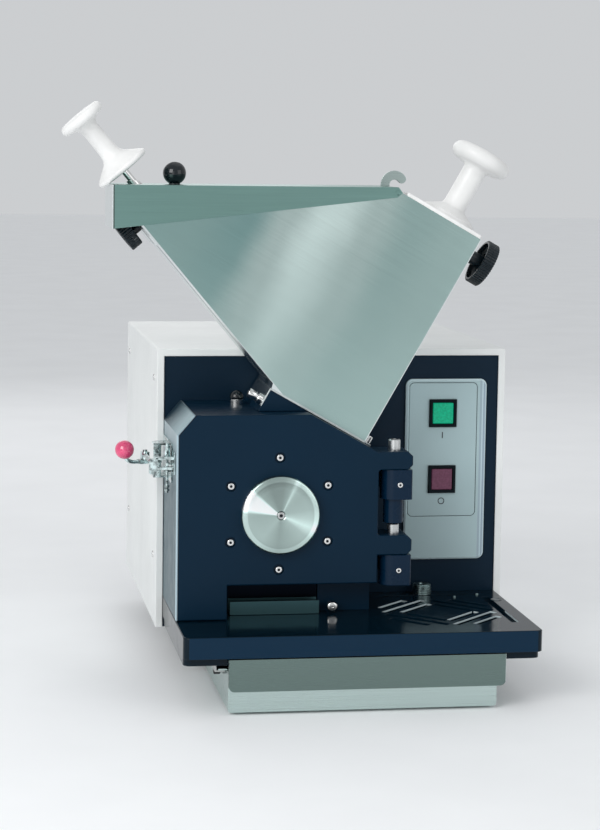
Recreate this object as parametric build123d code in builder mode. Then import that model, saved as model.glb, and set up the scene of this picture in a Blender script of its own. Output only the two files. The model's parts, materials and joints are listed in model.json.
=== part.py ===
"""Benchtop cutting mill: housing, hinged grinding chamber, tilted hopper, lid and plungers.

Millimetres, +Z up, the front faces -Y. While modelling, X = 0 is the middle of the housing,
Y = 0 is its front and Z = 0 is the bench. Before export everything is moved so that the origin
lies on the bench at the middle of the machine's bounding box.
"""
import os
from math import atan2, cos, degrees, hypot, radians, sin

from build123d import *

# Housing
HOUSING_WIDTH = 400
HOUSING_DEPTH = 370
HOUSING_HEIGHT = 316
FLOOR_HEIGHT = 49
SHEET = 2.0
LIP = 8
LIP_THICKNESS = 2.0
PANEL_THICKNESS = 3.0
FIT_GAP = 0.3
PAN_RIM = 18
FOOT_RADIUS = 19
FOOT_INSET_X = 70
FOOT_INSET_FRONT = 22
FOOT_INSET_BACK = 35

# Table plate and the groove pattern in it
TABLE_INSET = 8
TABLE_REACH = 208
TABLE_THICKNESS = 32
TABLE_LOWER_BAND = 9
TABLE_BAND_SETBACK = 9.5
TABLE_GAP = 4
TABLE_CORNER = 8
GROOVE_DEPTH = 4
GROOVE_WIDTH = 8
GRILLE_X = 102
GRILLE_Y = -110
GRILLE_SIDE = 126
GRILLE_PITCH = 15.5
GRILLE_FIRST = 30
SIDE_GROOVE_X = 172
SIDE_GROOVE_LENGTH = 128

# Grinding chamber: the fixed block, the door in front of it and the cutting axis
AXIS_X = -81
AXIS_Z = 200.3
BLOCK_LEFT = -191.5
BLOCK_RIGHT = 27
BLOCK_TOP = 307
BLOCK_FRONT = -90
RAISED_FRONT = -101
DOOR_FRONT = -131.5
CORNER_RUN = 17.5
CORNER_DROP = 20.5
BORE_RADIUS = 58
BACK_WALL = 16
OUTLET_HALF_WIDTH = 50
NOTCH_LEFT = -136.4
NOTCH_TOP = 123
DOOR_GAP = 0.5
COVER_CIRCLE_RADIUS = 60.7
COVER_SCREWS = 6
COVER_SCREW_RADIUS = 4.3
COVER_SCREW_HEIGHT = 3.2
COUNTERBORE_RADIUS = 5.8
COUNTERBORE_DEPTH = 3
SOCKET_RADIUS = 2.2
SOCKET_DEPTH = 2
DISC_RADIUS = 42
DISC_THICKNESS = 12
DISC_BORE_RADIUS = 4.5
DISC_BORE_DEPTH = 4

# Hinge on the right of the door
HINGE_X = 46.5
HINGE_Y = -116
EAR_RIGHT = 64.5
EAR_UPPER = (246.5, 266.0)
EAR_LOWER = (153.5, 175.0)
KNUCKLE_RADIUS = 15
KNUCKLE_CORNER = 3
KNUCKLE_UPPER = (213.8, 246.2)
KNUCKLE_LOWER = (119.5, 153.2)
HINGE_BOSS_LENGTH = 26.3
PIN_RADIUS = 5
PIN_HEAD_RADIUS = 6.2
PIN_HEAD_HEIGHT = 12
PIN_CLEARANCE = 0.05
PIN_SEAT = 4
HINGE_BOSS_RADIUS = 11
HINGE_RECESS_FILLET = 3
SET_SCREW_RADIUS = 3
SET_SCREW_OFFSET = 4
SET_SCREW_PROUD = 1.2

# Rotor, knives, sieve and drive
ROTOR_RADIUS = 45
ROTOR_FRONT = -84
ROTOR_BACK = -20
ROTOR_TWIST = 12
ROTOR_WINGS = 4
ROTOR_NOSE = 8
ROTOR_BOLT_RADIUS = 5
ROTOR_BOLT_HEAD = 2.5
SPINDLE_RADIUS = 12.5
BEARING_OUTER = 26
BEARING_WIDTH = 15
KNIFE_GAP = 0.8
KNIFE_WIDTH = 16
SIEVE_RADIUS = 50
SIEVE_SHEET = 2
SIEVE_ARC = 128
SPINDLE_END = 158
BEARING_HOUSING_END = 112
PULLEY_Y = 124
PULLEY_WIDTH = 26
SPINDLE_PULLEY_RADIUS = 62
MOTOR_PULLEY_RADIUS = 38
MOTOR_X = 78
MOTOR_Z = 166
MOTOR_RADIUS = 68
MOTOR_START = 172
MOTOR_LENGTH = 165
BELT_THICKNESS = 6
BELT_WIDTH = 10
MOTOR_SHAFT_RADIUS = 9

# Hopper: a front outline of folded sheet, its right wall square to the sloping chamber top
HOPPER_TILT = 29.5
HOPPER_FRONT = -103
HOPPER_BACK = -5
HOPPER_SHEET = 1.5
MOUTH_X = 16
MOUTH_Z = 272
MOUTH_LENGTH = 118.9
CHANNEL_LENGTH = 254.4
CHANNEL_WIDTH = 92
CHUTE_FOOT = (-85.4, 337.8)
CHUTE_ANGLE = 50
CHUTE_LEFT = -254.5
HOPPER_TOP = 545.5
TAB_LENGTH = 20
FLANGE_REACH = 11
DOUBLER_START = 193.5
DOUBLER_END = 246
DOUBLER_THICKNESS = 1.5

# Lid, plungers and clamp knobs
LID_LEFT = -259.5
LID_RIGHT = 48.5
LID_TOP = 549.5
LID_SHEET = 1.5
LID_SIDE_GAP = 1.0
FLAP_DROP = 46.5
LID_PIVOT = (47.5, 543.5)
LID_PIVOT_RADIUS = 2.5
KNOB_BALL_X = -188.5
KNOB_BALL_RADIUS = 12.6
ROD_RADIUS = 4
ROD_WALL_DISTANCE = 24.6
ROD_LID_POINT = 253.8
ROD_END = 74
PUSHER_HALF_WIDTH = 20
LEFT_FLANGE_RISE = 22
LEFT_FLANGE_RADIUS = 32
LEFT_GRIP_RADIUS = 10.4
LEFT_DISC_RADIUS = 26
LEFT_HANDLE_LENGTH = 77
RIGHT_AXIS_INSET = 33.5
COVER_THICKNESS = 4
RIGHT_FLANGE_RADIUS = 29.5
RIGHT_SHAFT_RADIUS = 12.5
RIGHT_GRIP_RADIUS = 12.8
RIGHT_DISC_RADIUS = 33
RIGHT_HANDLE_LENGTH = 78
RIGHT_PLUNGER_REACH = 236
RIGHT_KNOB_ALONG = 237
RIGHT_KNOB_RADIUS = 25.5
LEFT_KNOB_ALONG = 218
LEFT_KNOB_RADIUS = 16
KNOB_THICKNESS = 13.5
STUD_RADIUS = 4
STUD_INSIDE = 3
KNOB_FLUTES = 24
KNOB_FLUTE_RADIUS = 1.1
KNOB_RIM = 4
KNOB_HOLLOW = 6
KNOB_HUB_RADIUS = 6.5
RIGHT_KNOB_STANDOFF = 20
LEFT_KNOB_STANDOFF = 9.5

# Control panel
PANEL_LEFT = 84
PANEL_RIGHT = 178.5
PANEL_BOTTOM = 122
PANEL_TOP = 330.5
PANEL_PROUD = 5
BUTTON_X = 127.2
START_Z = 291.3
STOP_Z = 215.3
FRAME_SIDE = 32
CAP_SIDE = 24
FRAME_PROUD = 3
BUTTON_TRAVEL = 3
CAP_SEAT = 4
CAP_GAP = 0.3
SWITCH_LENGTH = 44

# Drawer
DRAWER_LEFT = -144
DRAWER_RIGHT = 144
DRAWER_FRONT = -200
DRAWER_BACK = -10
DRAWER_BOTTOM = 3
DRAWER_TOP = 47
DRAWER_SHEET = 1.5
DRAWER_FLANGE = 9
HANDLE_OVERHANG = 8
HANDLE_TOP = 60.5
HANDLE_BOTTOM = 26.3

# Toggle latch on the left side
LATCH_Z = 253
LATCH_PIVOT = (-204, -37)
LATCH_ARM = 14
LATCH_LEVER_TOP = 247.5
LATCH_LEVER_THICKNESS = 4.5
LATCH_BALL = (-240.5, -50, 259.5)
LATCH_BALL_RADIUS = 10.5
LATCH_NECK_RADIUS = 2.6
LATCH_BAR_RADIUS = 2.5
LATCH_PIN_RADIUS = 3
LATCH_TRAVEL = 75
LATCH_SHEET = 2
LATCH_PLATE = (-89, -9, 228, 271)
LATCH_EAR_TOP = 266
LATCH_CHEEK_LEFT = -208.5
LATCH_CHEEK_RIGHT = -200
LATCH_CHEEK_FRONT = -49
SPRING_BOLT = (-197.2, -84)
SPRING_BOLT_RADIUS = 3.5
CATCH_REACH = 20.5
CATCH_FRONT = -112
CATCH_DEPTH = 6
CATCH_HEIGHT = 26

HALF_WIDTH = HOUSING_WIDTH / 2
TABLE_BOTTOM = FLOOR_HEIGHT + TABLE_GAP
TABLE_TOP = TABLE_BOTTOM + TABLE_THICKNESS
PANEL_FRONT = LIP_THICKNESS + FIT_GAP
PANEL_BACK = PANEL_FRONT + PANEL_THICKNESS
BEZEL_FACE = PANEL_FRONT - PANEL_PROUD
MID_Y = (HOPPER_FRONT + HOPPER_BACK) / 2

TILT_SIN = sin(radians(HOPPER_TILT))
TILT_COS = cos(radians(HOPPER_TILT))
SLOPE_DIRECTION = Vector(TILT_COS, 0, -TILT_SIN)
CHANNEL_DIRECTION = Vector(TILT_SIN, 0, TILT_COS)
CHUTE_SIN = sin(radians(CHUTE_ANGLE))
CHUTE_COS = cos(radians(CHUTE_ANGLE))
CHUTE_DIRECTION = Vector(-CHUTE_COS, 0, CHUTE_SIN)
CHUTE_INWARD = Vector(CHUTE_SIN, 0, CHUTE_COS)


def front_plane(y):
    """A front-view plane at depth y: its sketches read X across and Z up, and extrude forwards."""
    return Plane.XZ.offset(-y)


def side_plane(x):
    """A side-view plane at x: its sketches read Y across and Z up, and extrude to the right."""
    return Plane.YZ.offset(x)


def hopper_point(along, rise):
    """X and Z of a point given along the sloping mouth and square to it, from its low end."""
    return (MOUTH_X + along * TILT_COS + rise * TILT_SIN, MOUTH_Z - along * TILT_SIN + rise * TILT_COS)


def chute_point(along, inward):
    """X and Z of a point given up the slanting left wall and inwards from it."""
    x, z = CHUTE_FOOT
    return (x - along * CHUTE_COS + inward * CHUTE_SIN, z + along * CHUTE_SIN + inward * CHUTE_COS)


def axis_plane(x, y, z, direction, across):
    """A plane whose normal is the direction of a turned piece, with its X set by across."""
    return Plane(origin=(x, y, z), x_dir=across, z_dir=direction)


def polar_point(radius, angle):
    """X and Z of a point at an angle round the cutting axis."""
    return (AXIS_X + radius * cos(radians(angle)), AXIS_Z + radius * sin(radians(angle)))


def slope_height(x):
    """Height of the sloping chamber top at x."""
    return MOUTH_Z - (x - MOUTH_X) * TILT_SIN / TILT_COS


def slope_x(z):
    """Where the sloping chamber top passes a height."""
    return MOUTH_X + (MOUTH_Z - z) * TILT_COS / TILT_SIN


# Housing shell: one folded white sheet with a lip round the front and the back
with BuildPart() as housing_shell:
    with Locations((0, HOUSING_DEPTH / 2, FLOOR_HEIGHT + HOUSING_HEIGHT / 2)):
        Box(HOUSING_WIDTH, HOUSING_DEPTH, HOUSING_HEIGHT)
    fillet(housing_shell.edges().filter_by(Axis.Y).group_by(Axis.Z)[-1], radius=3)
    inner_width = HOUSING_WIDTH - 2 * SHEET
    with BuildSketch(front_plane(HOUSING_DEPTH - LIP_THICKNESS)):
        with Locations((0, FLOOR_HEIGHT)):
            Rectangle(inner_width, HOUSING_HEIGHT - SHEET, align=(Align.CENTER, Align.MIN))
    extrude(amount=HOUSING_DEPTH - 2 * LIP_THICKNESS, mode=Mode.SUBTRACT)
    with BuildSketch(front_plane(HOUSING_DEPTH)):
        with Locations((0, FLOOR_HEIGHT)):
            Rectangle(HOUSING_WIDTH - 2 * LIP, HOUSING_HEIGHT - LIP, align=(Align.CENTER, Align.MIN))
    extrude(amount=HOUSING_DEPTH, mode=Mode.SUBTRACT)

# Base pan: the floor sheet with turned-up edges that the shell slides over
with BuildPart() as base_pan:
    pan_width = HOUSING_WIDTH - 2 * SHEET - 2 * FIT_GAP
    pan_depth = HOUSING_DEPTH - 2 * LIP_THICKNESS - 2 * PANEL_THICKNESS - 4 * FIT_GAP
    pan_start = PANEL_BACK + FIT_GAP
    with Locations((0, pan_start, FLOOR_HEIGHT)):
        Box(pan_width, pan_depth, PAN_RIM, align=(Align.CENTER, Align.MIN, Align.MIN))
    with Locations((0, pan_start + SHEET, FLOOR_HEIGHT + SHEET)):
        Box(pan_width - 2 * SHEET, pan_depth - 2 * SHEET, PAN_RIM,
            align=(Align.CENTER, Align.MIN, Align.MIN),
            mode=Mode.SUBTRACT)

# Front panel behind the lip, with holes for the spindle nose and the two push buttons
with BuildPart() as front_panel:
    with BuildSketch(front_plane(PANEL_BACK)):
        with Locations((0, FLOOR_HEIGHT + FIT_GAP)):
            Rectangle(HOUSING_WIDTH - 2 * SHEET - 2 * FIT_GAP, HOUSING_HEIGHT - SHEET - 2 * FIT_GAP,
                      align=(Align.CENTER, Align.MIN))
        with Locations((AXIS_X, AXIS_Z)):
            Circle(BEARING_OUTER + 10, mode=Mode.SUBTRACT)
        with Locations((BUTTON_X, START_Z), (BUTTON_X, STOP_Z)):
            Rectangle(CAP_SIDE + 2, CAP_SIDE + 2, mode=Mode.SUBTRACT)
    extrude(amount=PANEL_THICKNESS)

# Rear panel with ventilation slots and the opening for the power inlet
INLET_X = -150
INLET_Z = 92
INLET_WIDTH = 48
INLET_HEIGHT = 32
REAR_INSIDE = HOUSING_DEPTH - LIP_THICKNESS - FIT_GAP - PANEL_THICKNESS
with BuildPart() as rear_panel:
    with BuildSketch(front_plane(REAR_INSIDE + PANEL_THICKNESS)):
        with Locations((0, FLOOR_HEIGHT + FIT_GAP)):
            Rectangle(HOUSING_WIDTH - 2 * SHEET - 2 * FIT_GAP, HOUSING_HEIGHT - SHEET - 2 * FIT_GAP,
                      align=(Align.CENTER, Align.MIN))
        with Locations((INLET_X, INLET_Z)):
            Rectangle(INLET_WIDTH - 8, INLET_HEIGHT - 8, mode=Mode.SUBTRACT)
        with Locations((MOTOR_X, MOTOR_Z)):
            with GridLocations(0, 12, 1, 9):
                SlotOverall(110, 5, mode=Mode.SUBTRACT)
    extrude(amount=PANEL_THICKNESS)

# Power inlet: a flanged socket with its three blades
INLET_CAVITY = (24, 18, 17)
with BuildPart() as power_inlet:
    rear_face = REAR_INSIDE + PANEL_THICKNESS
    with Locations((INLET_X, rear_face, INLET_Z)):
        Box(INLET_WIDTH, 2, INLET_HEIGHT, align=(Align.CENTER, Align.MIN, Align.CENTER))
        Box(INLET_WIDTH - 9, 24, INLET_HEIGHT - 9, align=(Align.CENTER, Align.MAX, Align.CENTER))
    with Locations((INLET_X, rear_face + 2, INLET_Z)):
        Box(INLET_CAVITY[0], INLET_CAVITY[2], INLET_CAVITY[1],
            align=(Align.CENTER, Align.MAX, Align.CENTER),
            mode=Mode.SUBTRACT)
    with Locations((INLET_X - 7, rear_face - 15, INLET_Z - 2), (INLET_X + 7, rear_face - 15, INLET_Z - 2),
                   (INLET_X, rear_face - 15, INLET_Z + 3)):
        Box(2, 12, 4, align=(Align.CENTER, Align.MIN, Align.CENTER))

# Rubber feet under the floor, out of sight behind the drawer
with BuildPart() as feet:
    foot_x = HALF_WIDTH - FOOT_INSET_X
    for foot_y in (FOOT_INSET_FRONT, HOUSING_DEPTH - FOOT_INSET_BACK):
        for side in (-1, 1):
            with BuildSketch(Plane(origin=(side * foot_x, foot_y, FLOOR_HEIGHT), z_dir=(0, 0, -1))):
                Circle(FOOT_RADIUS)
            extrude(amount=FLOOR_HEIGHT, taper=3)

# Table plate: two bands on its front face, rounded front corners, grooves and the outlet
with BuildPart() as table_plate:
    table_width = HOUSING_WIDTH - 2 * TABLE_INSET
    upper = TABLE_BOTTOM + TABLE_LOWER_BAND
    with BuildSketch(Plane.XY.offset(upper)):
        with Locations((0, -FIT_GAP)):
            Rectangle(table_width, TABLE_REACH - FIT_GAP, align=(Align.CENTER, Align.MAX))
        fillet(vertices().group_by(Axis.Y)[0], radius=TABLE_CORNER)
    extrude(amount=TABLE_THICKNESS - TABLE_LOWER_BAND)
    with BuildSketch(Plane.XY.offset(TABLE_BOTTOM)):
        with Locations((0, -FIT_GAP)):
            Rectangle(table_width - 2, TABLE_REACH - FIT_GAP - TABLE_BAND_SETBACK,
                      align=(Align.CENTER, Align.MAX))
        fillet(vertices().group_by(Axis.Y)[0], radius=TABLE_CORNER)
    extrude(amount=TABLE_LOWER_BAND)
    with Locations((0, PANEL_FRONT, TABLE_BOTTOM)):
        Box(HOUSING_WIDTH - 4 * LIP, PANEL_FRONT + 1, TABLE_THICKNESS - 1,
            align=(Align.CENTER, Align.MAX, Align.MIN))
    chamfer(table_plate.faces().sort_by(Axis.Z)[-1].edges(), length=0.8)
    with BuildSketch(Plane.XY.offset(TABLE_BOTTOM)):
        with Locations((AXIS_X, (BLOCK_FRONT - BACK_WALL) / 2)):
            Rectangle(2 * OUTLET_HALF_WIDTH, -BLOCK_FRONT - BACK_WALL - 12)
    extrude(amount=TABLE_THICKNESS, mode=Mode.SUBTRACT)

    # Concentric square grooves turned by 45 degrees, clipped to a square field
    half_field = GRILLE_SIDE / 2
    with BuildSketch(Plane.XY.offset(TABLE_TOP - GROOVE_DEPTH)):
        for ring in range(3):
            distance = GRILLE_FIRST + ring * GRILLE_PITCH
            half_length = min(distance - 3, half_field * 2 ** 0.5 - distance - 4)
            for quarter in range(4):
                angle = 45 + 90 * quarter
                centre_x = GRILLE_X + distance * cos(radians(angle))
                centre_y = GRILLE_Y + distance * sin(radians(angle))
                with Locations(Location((centre_x, centre_y), angle + 90)):
                    Rectangle(2 * half_length, GROOVE_WIDTH)
        with Locations((SIDE_GROOVE_X, GRILLE_Y + 8)):
            Rectangle(GROOVE_WIDTH, SIDE_GROOVE_LENGTH)
    extrude(amount=GROOVE_DEPTH, mode=Mode.SUBTRACT)

# Grinding chamber, fixed half: the block that the hopper stands on
BLOCK_BACK = PANEL_FRONT
shoulder = hopper_point(-MOUTH_LENGTH, 0)
shoulder_drop = (shoulder[1] - BLOCK_TOP) / TILT_COS
shoulder_foot = hopper_point(-MOUTH_LENGTH, -shoulder_drop)
raised_foot = hopper_point(-MOUTH_LENGTH, DOOR_GAP / TILT_COS - shoulder_drop)
with BuildPart() as chamber_block:
    with BuildSketch(front_plane(BLOCK_BACK)):
        with BuildLine():
            Polyline((BLOCK_LEFT, TABLE_TOP), (BLOCK_LEFT, BLOCK_TOP - CORNER_DROP),
                     (BLOCK_LEFT + CORNER_RUN, BLOCK_TOP), shoulder_foot, shoulder,
                     (BLOCK_RIGHT, slope_height(BLOCK_RIGHT)), (BLOCK_RIGHT, TABLE_TOP), close=True)
        make_face()
    extrude(amount=BLOCK_BACK - BLOCK_FRONT)
    with BuildSketch(front_plane(BLOCK_FRONT)):
        with BuildLine():
            Polyline(raised_foot, shoulder,
                     (slope_x(BLOCK_TOP + DOOR_GAP), BLOCK_TOP + DOOR_GAP), close=True)
        make_face()
    extrude(amount=BLOCK_FRONT - RAISED_FRONT)
    with BuildSketch(front_plane(-BACK_WALL)):
        with Locations((AXIS_X, AXIS_Z)):
            Circle(BORE_RADIUS)
        with Locations((AXIS_X, TABLE_TOP)):
            Rectangle(2 * OUTLET_HALF_WIDTH, AXIS_Z - TABLE_TOP, align=(Align.CENTER, Align.MIN))
        with BuildLine():
            Polyline(hopper_point(-104, 1), hopper_point(-4, 1), hopper_point(-4, -90),
                     hopper_point(-104, -90), close=True)
        make_face()
    extrude(amount=-BLOCK_FRONT - BACK_WALL, mode=Mode.SUBTRACT)
    with BuildSketch(front_plane(BLOCK_BACK)):
        with Locations((AXIS_X, AXIS_Z)):
            Circle(BEARING_OUTER + 4)
    extrude(amount=BLOCK_BACK + BACK_WALL, mode=Mode.SUBTRACT)

# Grinding chamber, door half: ears for the hinge, a notch over the table and counterbores
with BuildPart() as chamber_door:
    with BuildSketch(front_plane(BLOCK_FRONT - FIT_GAP)):
        with BuildLine():
            Polyline((BLOCK_LEFT, TABLE_TOP + DOOR_GAP), (BLOCK_LEFT, BLOCK_TOP - CORNER_DROP),
                     (BLOCK_LEFT + CORNER_RUN, BLOCK_TOP), (slope_x(BLOCK_TOP + DOOR_GAP) - 1, BLOCK_TOP),
                     (slope_x(EAR_UPPER[1]) - 1, EAR_UPPER[1]), (EAR_RIGHT, EAR_UPPER[1]),
                     (EAR_RIGHT, EAR_UPPER[0]), (BLOCK_RIGHT, EAR_UPPER[0]), (BLOCK_RIGHT, EAR_LOWER[1]),
                     (EAR_RIGHT, EAR_LOWER[1]), (EAR_RIGHT, EAR_LOWER[0]), (BLOCK_RIGHT, EAR_LOWER[0]),
                     (BLOCK_RIGHT, NOTCH_TOP), (NOTCH_LEFT, NOTCH_TOP), (NOTCH_LEFT, TABLE_TOP + DOOR_GAP),
                     close=True)
        make_face()
        chamfer(vertices().group_by(Axis.X)[-1], length=5)
    extrude(amount=BLOCK_FRONT - FIT_GAP - DOOR_FRONT)
    recess_edges = chamber_door.edges().filter_by(Axis.Y).filter_by_position(
        Axis.X, BLOCK_RIGHT - 0.1, BLOCK_RIGHT + 0.1).filter_by_position(
        Axis.Z, EAR_LOWER[0] + 5, EAR_UPPER[0] + 5)
    fillet(recess_edges, radius=HINGE_RECESS_FILLET)
    chamfer(chamber_door.faces().sort_by(Axis.Y)[0].outer_wire().edges(), length=1.2)
    with BuildSketch(front_plane(DOOR_FRONT + COUNTERBORE_DEPTH)):
        with Locations((AXIS_X, AXIS_Z)):
            with PolarLocations(COVER_CIRCLE_RADIUS, COVER_SCREWS, start_angle=30):
                Circle(COUNTERBORE_RADIUS)
    extrude(amount=COUNTERBORE_DEPTH, mode=Mode.SUBTRACT)
    for bottom, top in (EAR_UPPER, EAR_LOWER):
        with BuildSketch(Plane.XY.offset(bottom)):
            with Locations((HINGE_X, HINGE_Y)):
                Circle(PIN_RADIUS)
        extrude(amount=top - bottom, mode=Mode.SUBTRACT)

# Turned cover disc in the middle of the door
with BuildPart() as cover_disc:
    with BuildSketch(front_plane(DOOR_FRONT)):
        with Locations((AXIS_X, AXIS_Z)):
            Circle(DISC_RADIUS)
    extrude(amount=DISC_THICKNESS)
    chamfer(cover_disc.faces().sort_by(Axis.Y)[0].edges(), length=2)
    with BuildSketch(front_plane(DOOR_FRONT - DISC_THICKNESS + DISC_BORE_DEPTH)):
        with Locations((AXIS_X, AXIS_Z)):
            Circle(DISC_BORE_RADIUS)
    extrude(amount=DISC_BORE_DEPTH, mode=Mode.SUBTRACT)

# Hex socket screw sunk in the centre of the disc
DISC_SCREW_HEIGHT = DISC_BORE_DEPTH - 0.6
with BuildPart() as disc_screw:
    with BuildSketch(front_plane(DOOR_FRONT - DISC_THICKNESS + DISC_BORE_DEPTH)):
        with Locations((AXIS_X, AXIS_Z)):
            Circle(DISC_BORE_RADIUS - FIT_GAP)
    extrude(amount=DISC_SCREW_HEIGHT)
    with BuildSketch(disc_screw.faces().sort_by(Axis.Y)[0]):
        RegularPolygon(SOCKET_RADIUS, 6)
    extrude(amount=-SOCKET_DEPTH, mode=Mode.SUBTRACT)

# Six socket screws round the disc, each seated in its counterbore
with BuildPart() as door_screws:
    with BuildSketch(front_plane(DOOR_FRONT + COUNTERBORE_DEPTH)):
        with Locations((AXIS_X, AXIS_Z)):
            with PolarLocations(COVER_CIRCLE_RADIUS, COVER_SCREWS, start_angle=30):
                Circle(COVER_SCREW_RADIUS)
                RegularPolygon(SOCKET_RADIUS, 6, mode=Mode.SUBTRACT)
    extrude(amount=COVER_SCREW_HEIGHT)
    with BuildSketch(front_plane(DOOR_FRONT + COUNTERBORE_DEPTH)):
        with Locations((AXIS_X, AXIS_Z)):
            with PolarLocations(COVER_CIRCLE_RADIUS, COVER_SCREWS, start_angle=30):
                Circle(COVER_SCREW_RADIUS)
    extrude(amount=COVER_SCREW_HEIGHT - SOCKET_DEPTH)


def hinge_bracket(bottom, top, boss_length):
    """Hinge bracket: a knuckle on an arm to the panel, with a narrower boss going on downwards."""
    with BuildPart() as bracket:
        with BuildSketch(Plane.XY.offset(bottom)):
            with Locations((HINGE_X, HINGE_Y)):
                Circle(KNUCKLE_RADIUS)
                Rectangle(EAR_RIGHT - HINGE_X, 2 * KNUCKLE_RADIUS, align=(Align.MIN, Align.CENTER))
                Rectangle(EAR_RIGHT - HINGE_X, PANEL_FRONT - HINGE_Y, align=(Align.MIN, Align.MIN))
            fillet(vertices().group_by(Axis.X)[-1].sort_by(Axis.Y)[0], radius=KNUCKLE_CORNER)
        extrude(amount=top - bottom)
        with BuildSketch(Plane.XY.offset(bottom + PIN_SEAT)):
            with Locations((HINGE_X, HINGE_Y)):
                Circle(PIN_RADIUS + PIN_CLEARANCE)
        extrude(amount=top - bottom, mode=Mode.SUBTRACT)
        if boss_length:
            with BuildSketch(Plane.XY.offset(bottom - boss_length)):
                with Locations((HINGE_X, HINGE_Y)):
                    Circle(HINGE_BOSS_RADIUS)
            extrude(amount=boss_length)
    return bracket


# The two hinge brackets: only the upper one has the boss
hinge_bracket_upper = hinge_bracket(*KNUCKLE_UPPER, HINGE_BOSS_LENGTH)
hinge_bracket_lower = hinge_bracket(*KNUCKLE_LOWER, 0)

# Set screws in the front of the two knuckles
with BuildPart() as hinge_screws:
    for low, high in (KNUCKLE_UPPER, KNUCKLE_LOWER):
        with BuildSketch(front_plane(HINGE_Y - KNUCKLE_RADIUS)):
            with Locations((HINGE_X + SET_SCREW_OFFSET, (low + high) / 2)):
                Circle(SET_SCREW_RADIUS)
        extrude(amount=SET_SCREW_PROUD)

# Hinge pins with tall heads, pressed into the door's ears and turning in the knuckles
with BuildPart() as hinge_pins:
    for ear, knuckle in ((EAR_UPPER, KNUCKLE_UPPER), (EAR_LOWER, KNUCKLE_LOWER)):
        pin_bottom = knuckle[0] + 2 * PIN_SEAT
        with BuildSketch(Plane.XY.offset(pin_bottom)):
            with Locations((HINGE_X, HINGE_Y)):
                Circle(PIN_RADIUS)
        extrude(amount=ear[1] - pin_bottom)
        with BuildSketch(Plane.XY.offset(ear[1])):
            with Locations((HINGE_X, HINGE_Y)):
                Circle(PIN_HEAD_RADIUS)
        extrude(amount=PIN_HEAD_HEIGHT if ear is EAR_UPPER else PIN_HEAD_HEIGHT - 1)


def rotor_outline(turn):
    """Saw-toothed outline of the rotor, turned about its axis."""
    points = []
    for wing in range(ROTOR_WINGS):
        base = turn + wing * 360 / ROTOR_WINGS
        for radius, angle in ((ROTOR_RADIUS, 0), (ROTOR_RADIUS - 2, 9), (27, 36), (24, 66), (26, 86)):
            points.append(polar_point(radius, base + angle))
    return points


# Rotor: four wings whose cutting edges form a V along its length
with BuildPart() as rotor:
    rotor_middle = (ROTOR_FRONT + ROTOR_BACK) / 2
    for section_y, turn in ((ROTOR_BACK, 0), (rotor_middle, ROTOR_TWIST), (ROTOR_FRONT, 0)):
        with BuildSketch(front_plane(section_y)):
            with BuildLine():
                Polyline(*rotor_outline(turn), close=True)
            make_face()
    loft(ruled=True)
    with BuildSketch(front_plane(ROTOR_BACK)):
        with Locations((AXIS_X, AXIS_Z)):
            Circle(SPINDLE_RADIUS)
    extrude(amount=ROTOR_BACK - ROTOR_FRONT - ROTOR_NOSE, mode=Mode.SUBTRACT)
    with BuildSketch(front_plane(ROTOR_BACK)):
        with Locations((AXIS_X, AXIS_Z)):
            Circle(ROTOR_BOLT_RADIUS)
    extrude(amount=ROTOR_BACK - ROTOR_FRONT, mode=Mode.SUBTRACT)

# Bolt that draws the rotor onto the spindle
with BuildPart() as rotor_bolt:
    with BuildSketch(front_plane(ROTOR_FRONT)):
        with Locations((AXIS_X, AXIS_Z)):
            Circle(9)
            RegularPolygon(4, 6, mode=Mode.SUBTRACT)
    extrude(amount=ROTOR_BOLT_HEAD)
    with BuildSketch(front_plane(ROTOR_FRONT + ROTOR_NOSE)):
        with Locations((AXIS_X, AXIS_Z)):
            Circle(ROTOR_BOLT_RADIUS)
    extrude(amount=ROTOR_NOSE)

# Spindle from the rotor back through both bearings to the pulley
with BuildPart() as spindle:
    with BuildSketch(front_plane(SPINDLE_END)):
        with Locations((AXIS_X, AXIS_Z)):
            Circle(SPINDLE_RADIUS)
    extrude(amount=SPINDLE_END - ROTOR_FRONT - ROTOR_NOSE)
    with BuildSketch(front_plane(-2)):
        with Locations((AXIS_X, AXIS_Z)):
            Circle(SPINDLE_RADIUS + 4)
    extrude(amount=-ROTOR_BACK - 2)

# Bearing housing: a flanged tube bolted behind the chamber block
BEARING_FRONT = 14
with BuildPart() as bearing_housing:
    with BuildSketch(front_plane(BEARING_HOUSING_END)):
        with Locations((AXIS_X, AXIS_Z)):
            Circle(BEARING_OUTER + 8)
    extrude(amount=BEARING_HOUSING_END - PANEL_FRONT)
    with BuildSketch(front_plane(PANEL_BACK + 12)):
        with Locations((AXIS_X, AXIS_Z)):
            Circle(BEARING_OUTER + 26)
            with PolarLocations(BEARING_OUTER + 18, 6):
                Circle(3.5, mode=Mode.SUBTRACT)
    extrude(amount=12 - FIT_GAP)
    with BuildSketch(front_plane(BEARING_HOUSING_END)):
        with Locations((AXIS_X, AXIS_Z)):
            Circle(BEARING_OUTER)
    extrude(amount=BEARING_HOUSING_END - PANEL_FRONT, mode=Mode.SUBTRACT)

# Two ball bearings, one at each end of the tube
with BuildPart() as spindle_bearings:
    for bearing_back in (BEARING_FRONT + BEARING_WIDTH, BEARING_HOUSING_END - 2):
        with BuildSketch(front_plane(bearing_back)):
            with Locations((AXIS_X, AXIS_Z)):
                Circle(BEARING_OUTER)
                Circle(SPINDLE_RADIUS + PIN_CLEARANCE, mode=Mode.SUBTRACT)
        extrude(amount=BEARING_WIDTH)
        with BuildSketch(front_plane(bearing_back - BEARING_WIDTH + 1.5)):
            with Locations((AXIS_X, AXIS_Z)):
                Circle(BEARING_OUTER - 4)
                Circle(SPINDLE_RADIUS + 4, mode=Mode.SUBTRACT)
        extrude(amount=1.5, mode=Mode.SUBTRACT)


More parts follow.
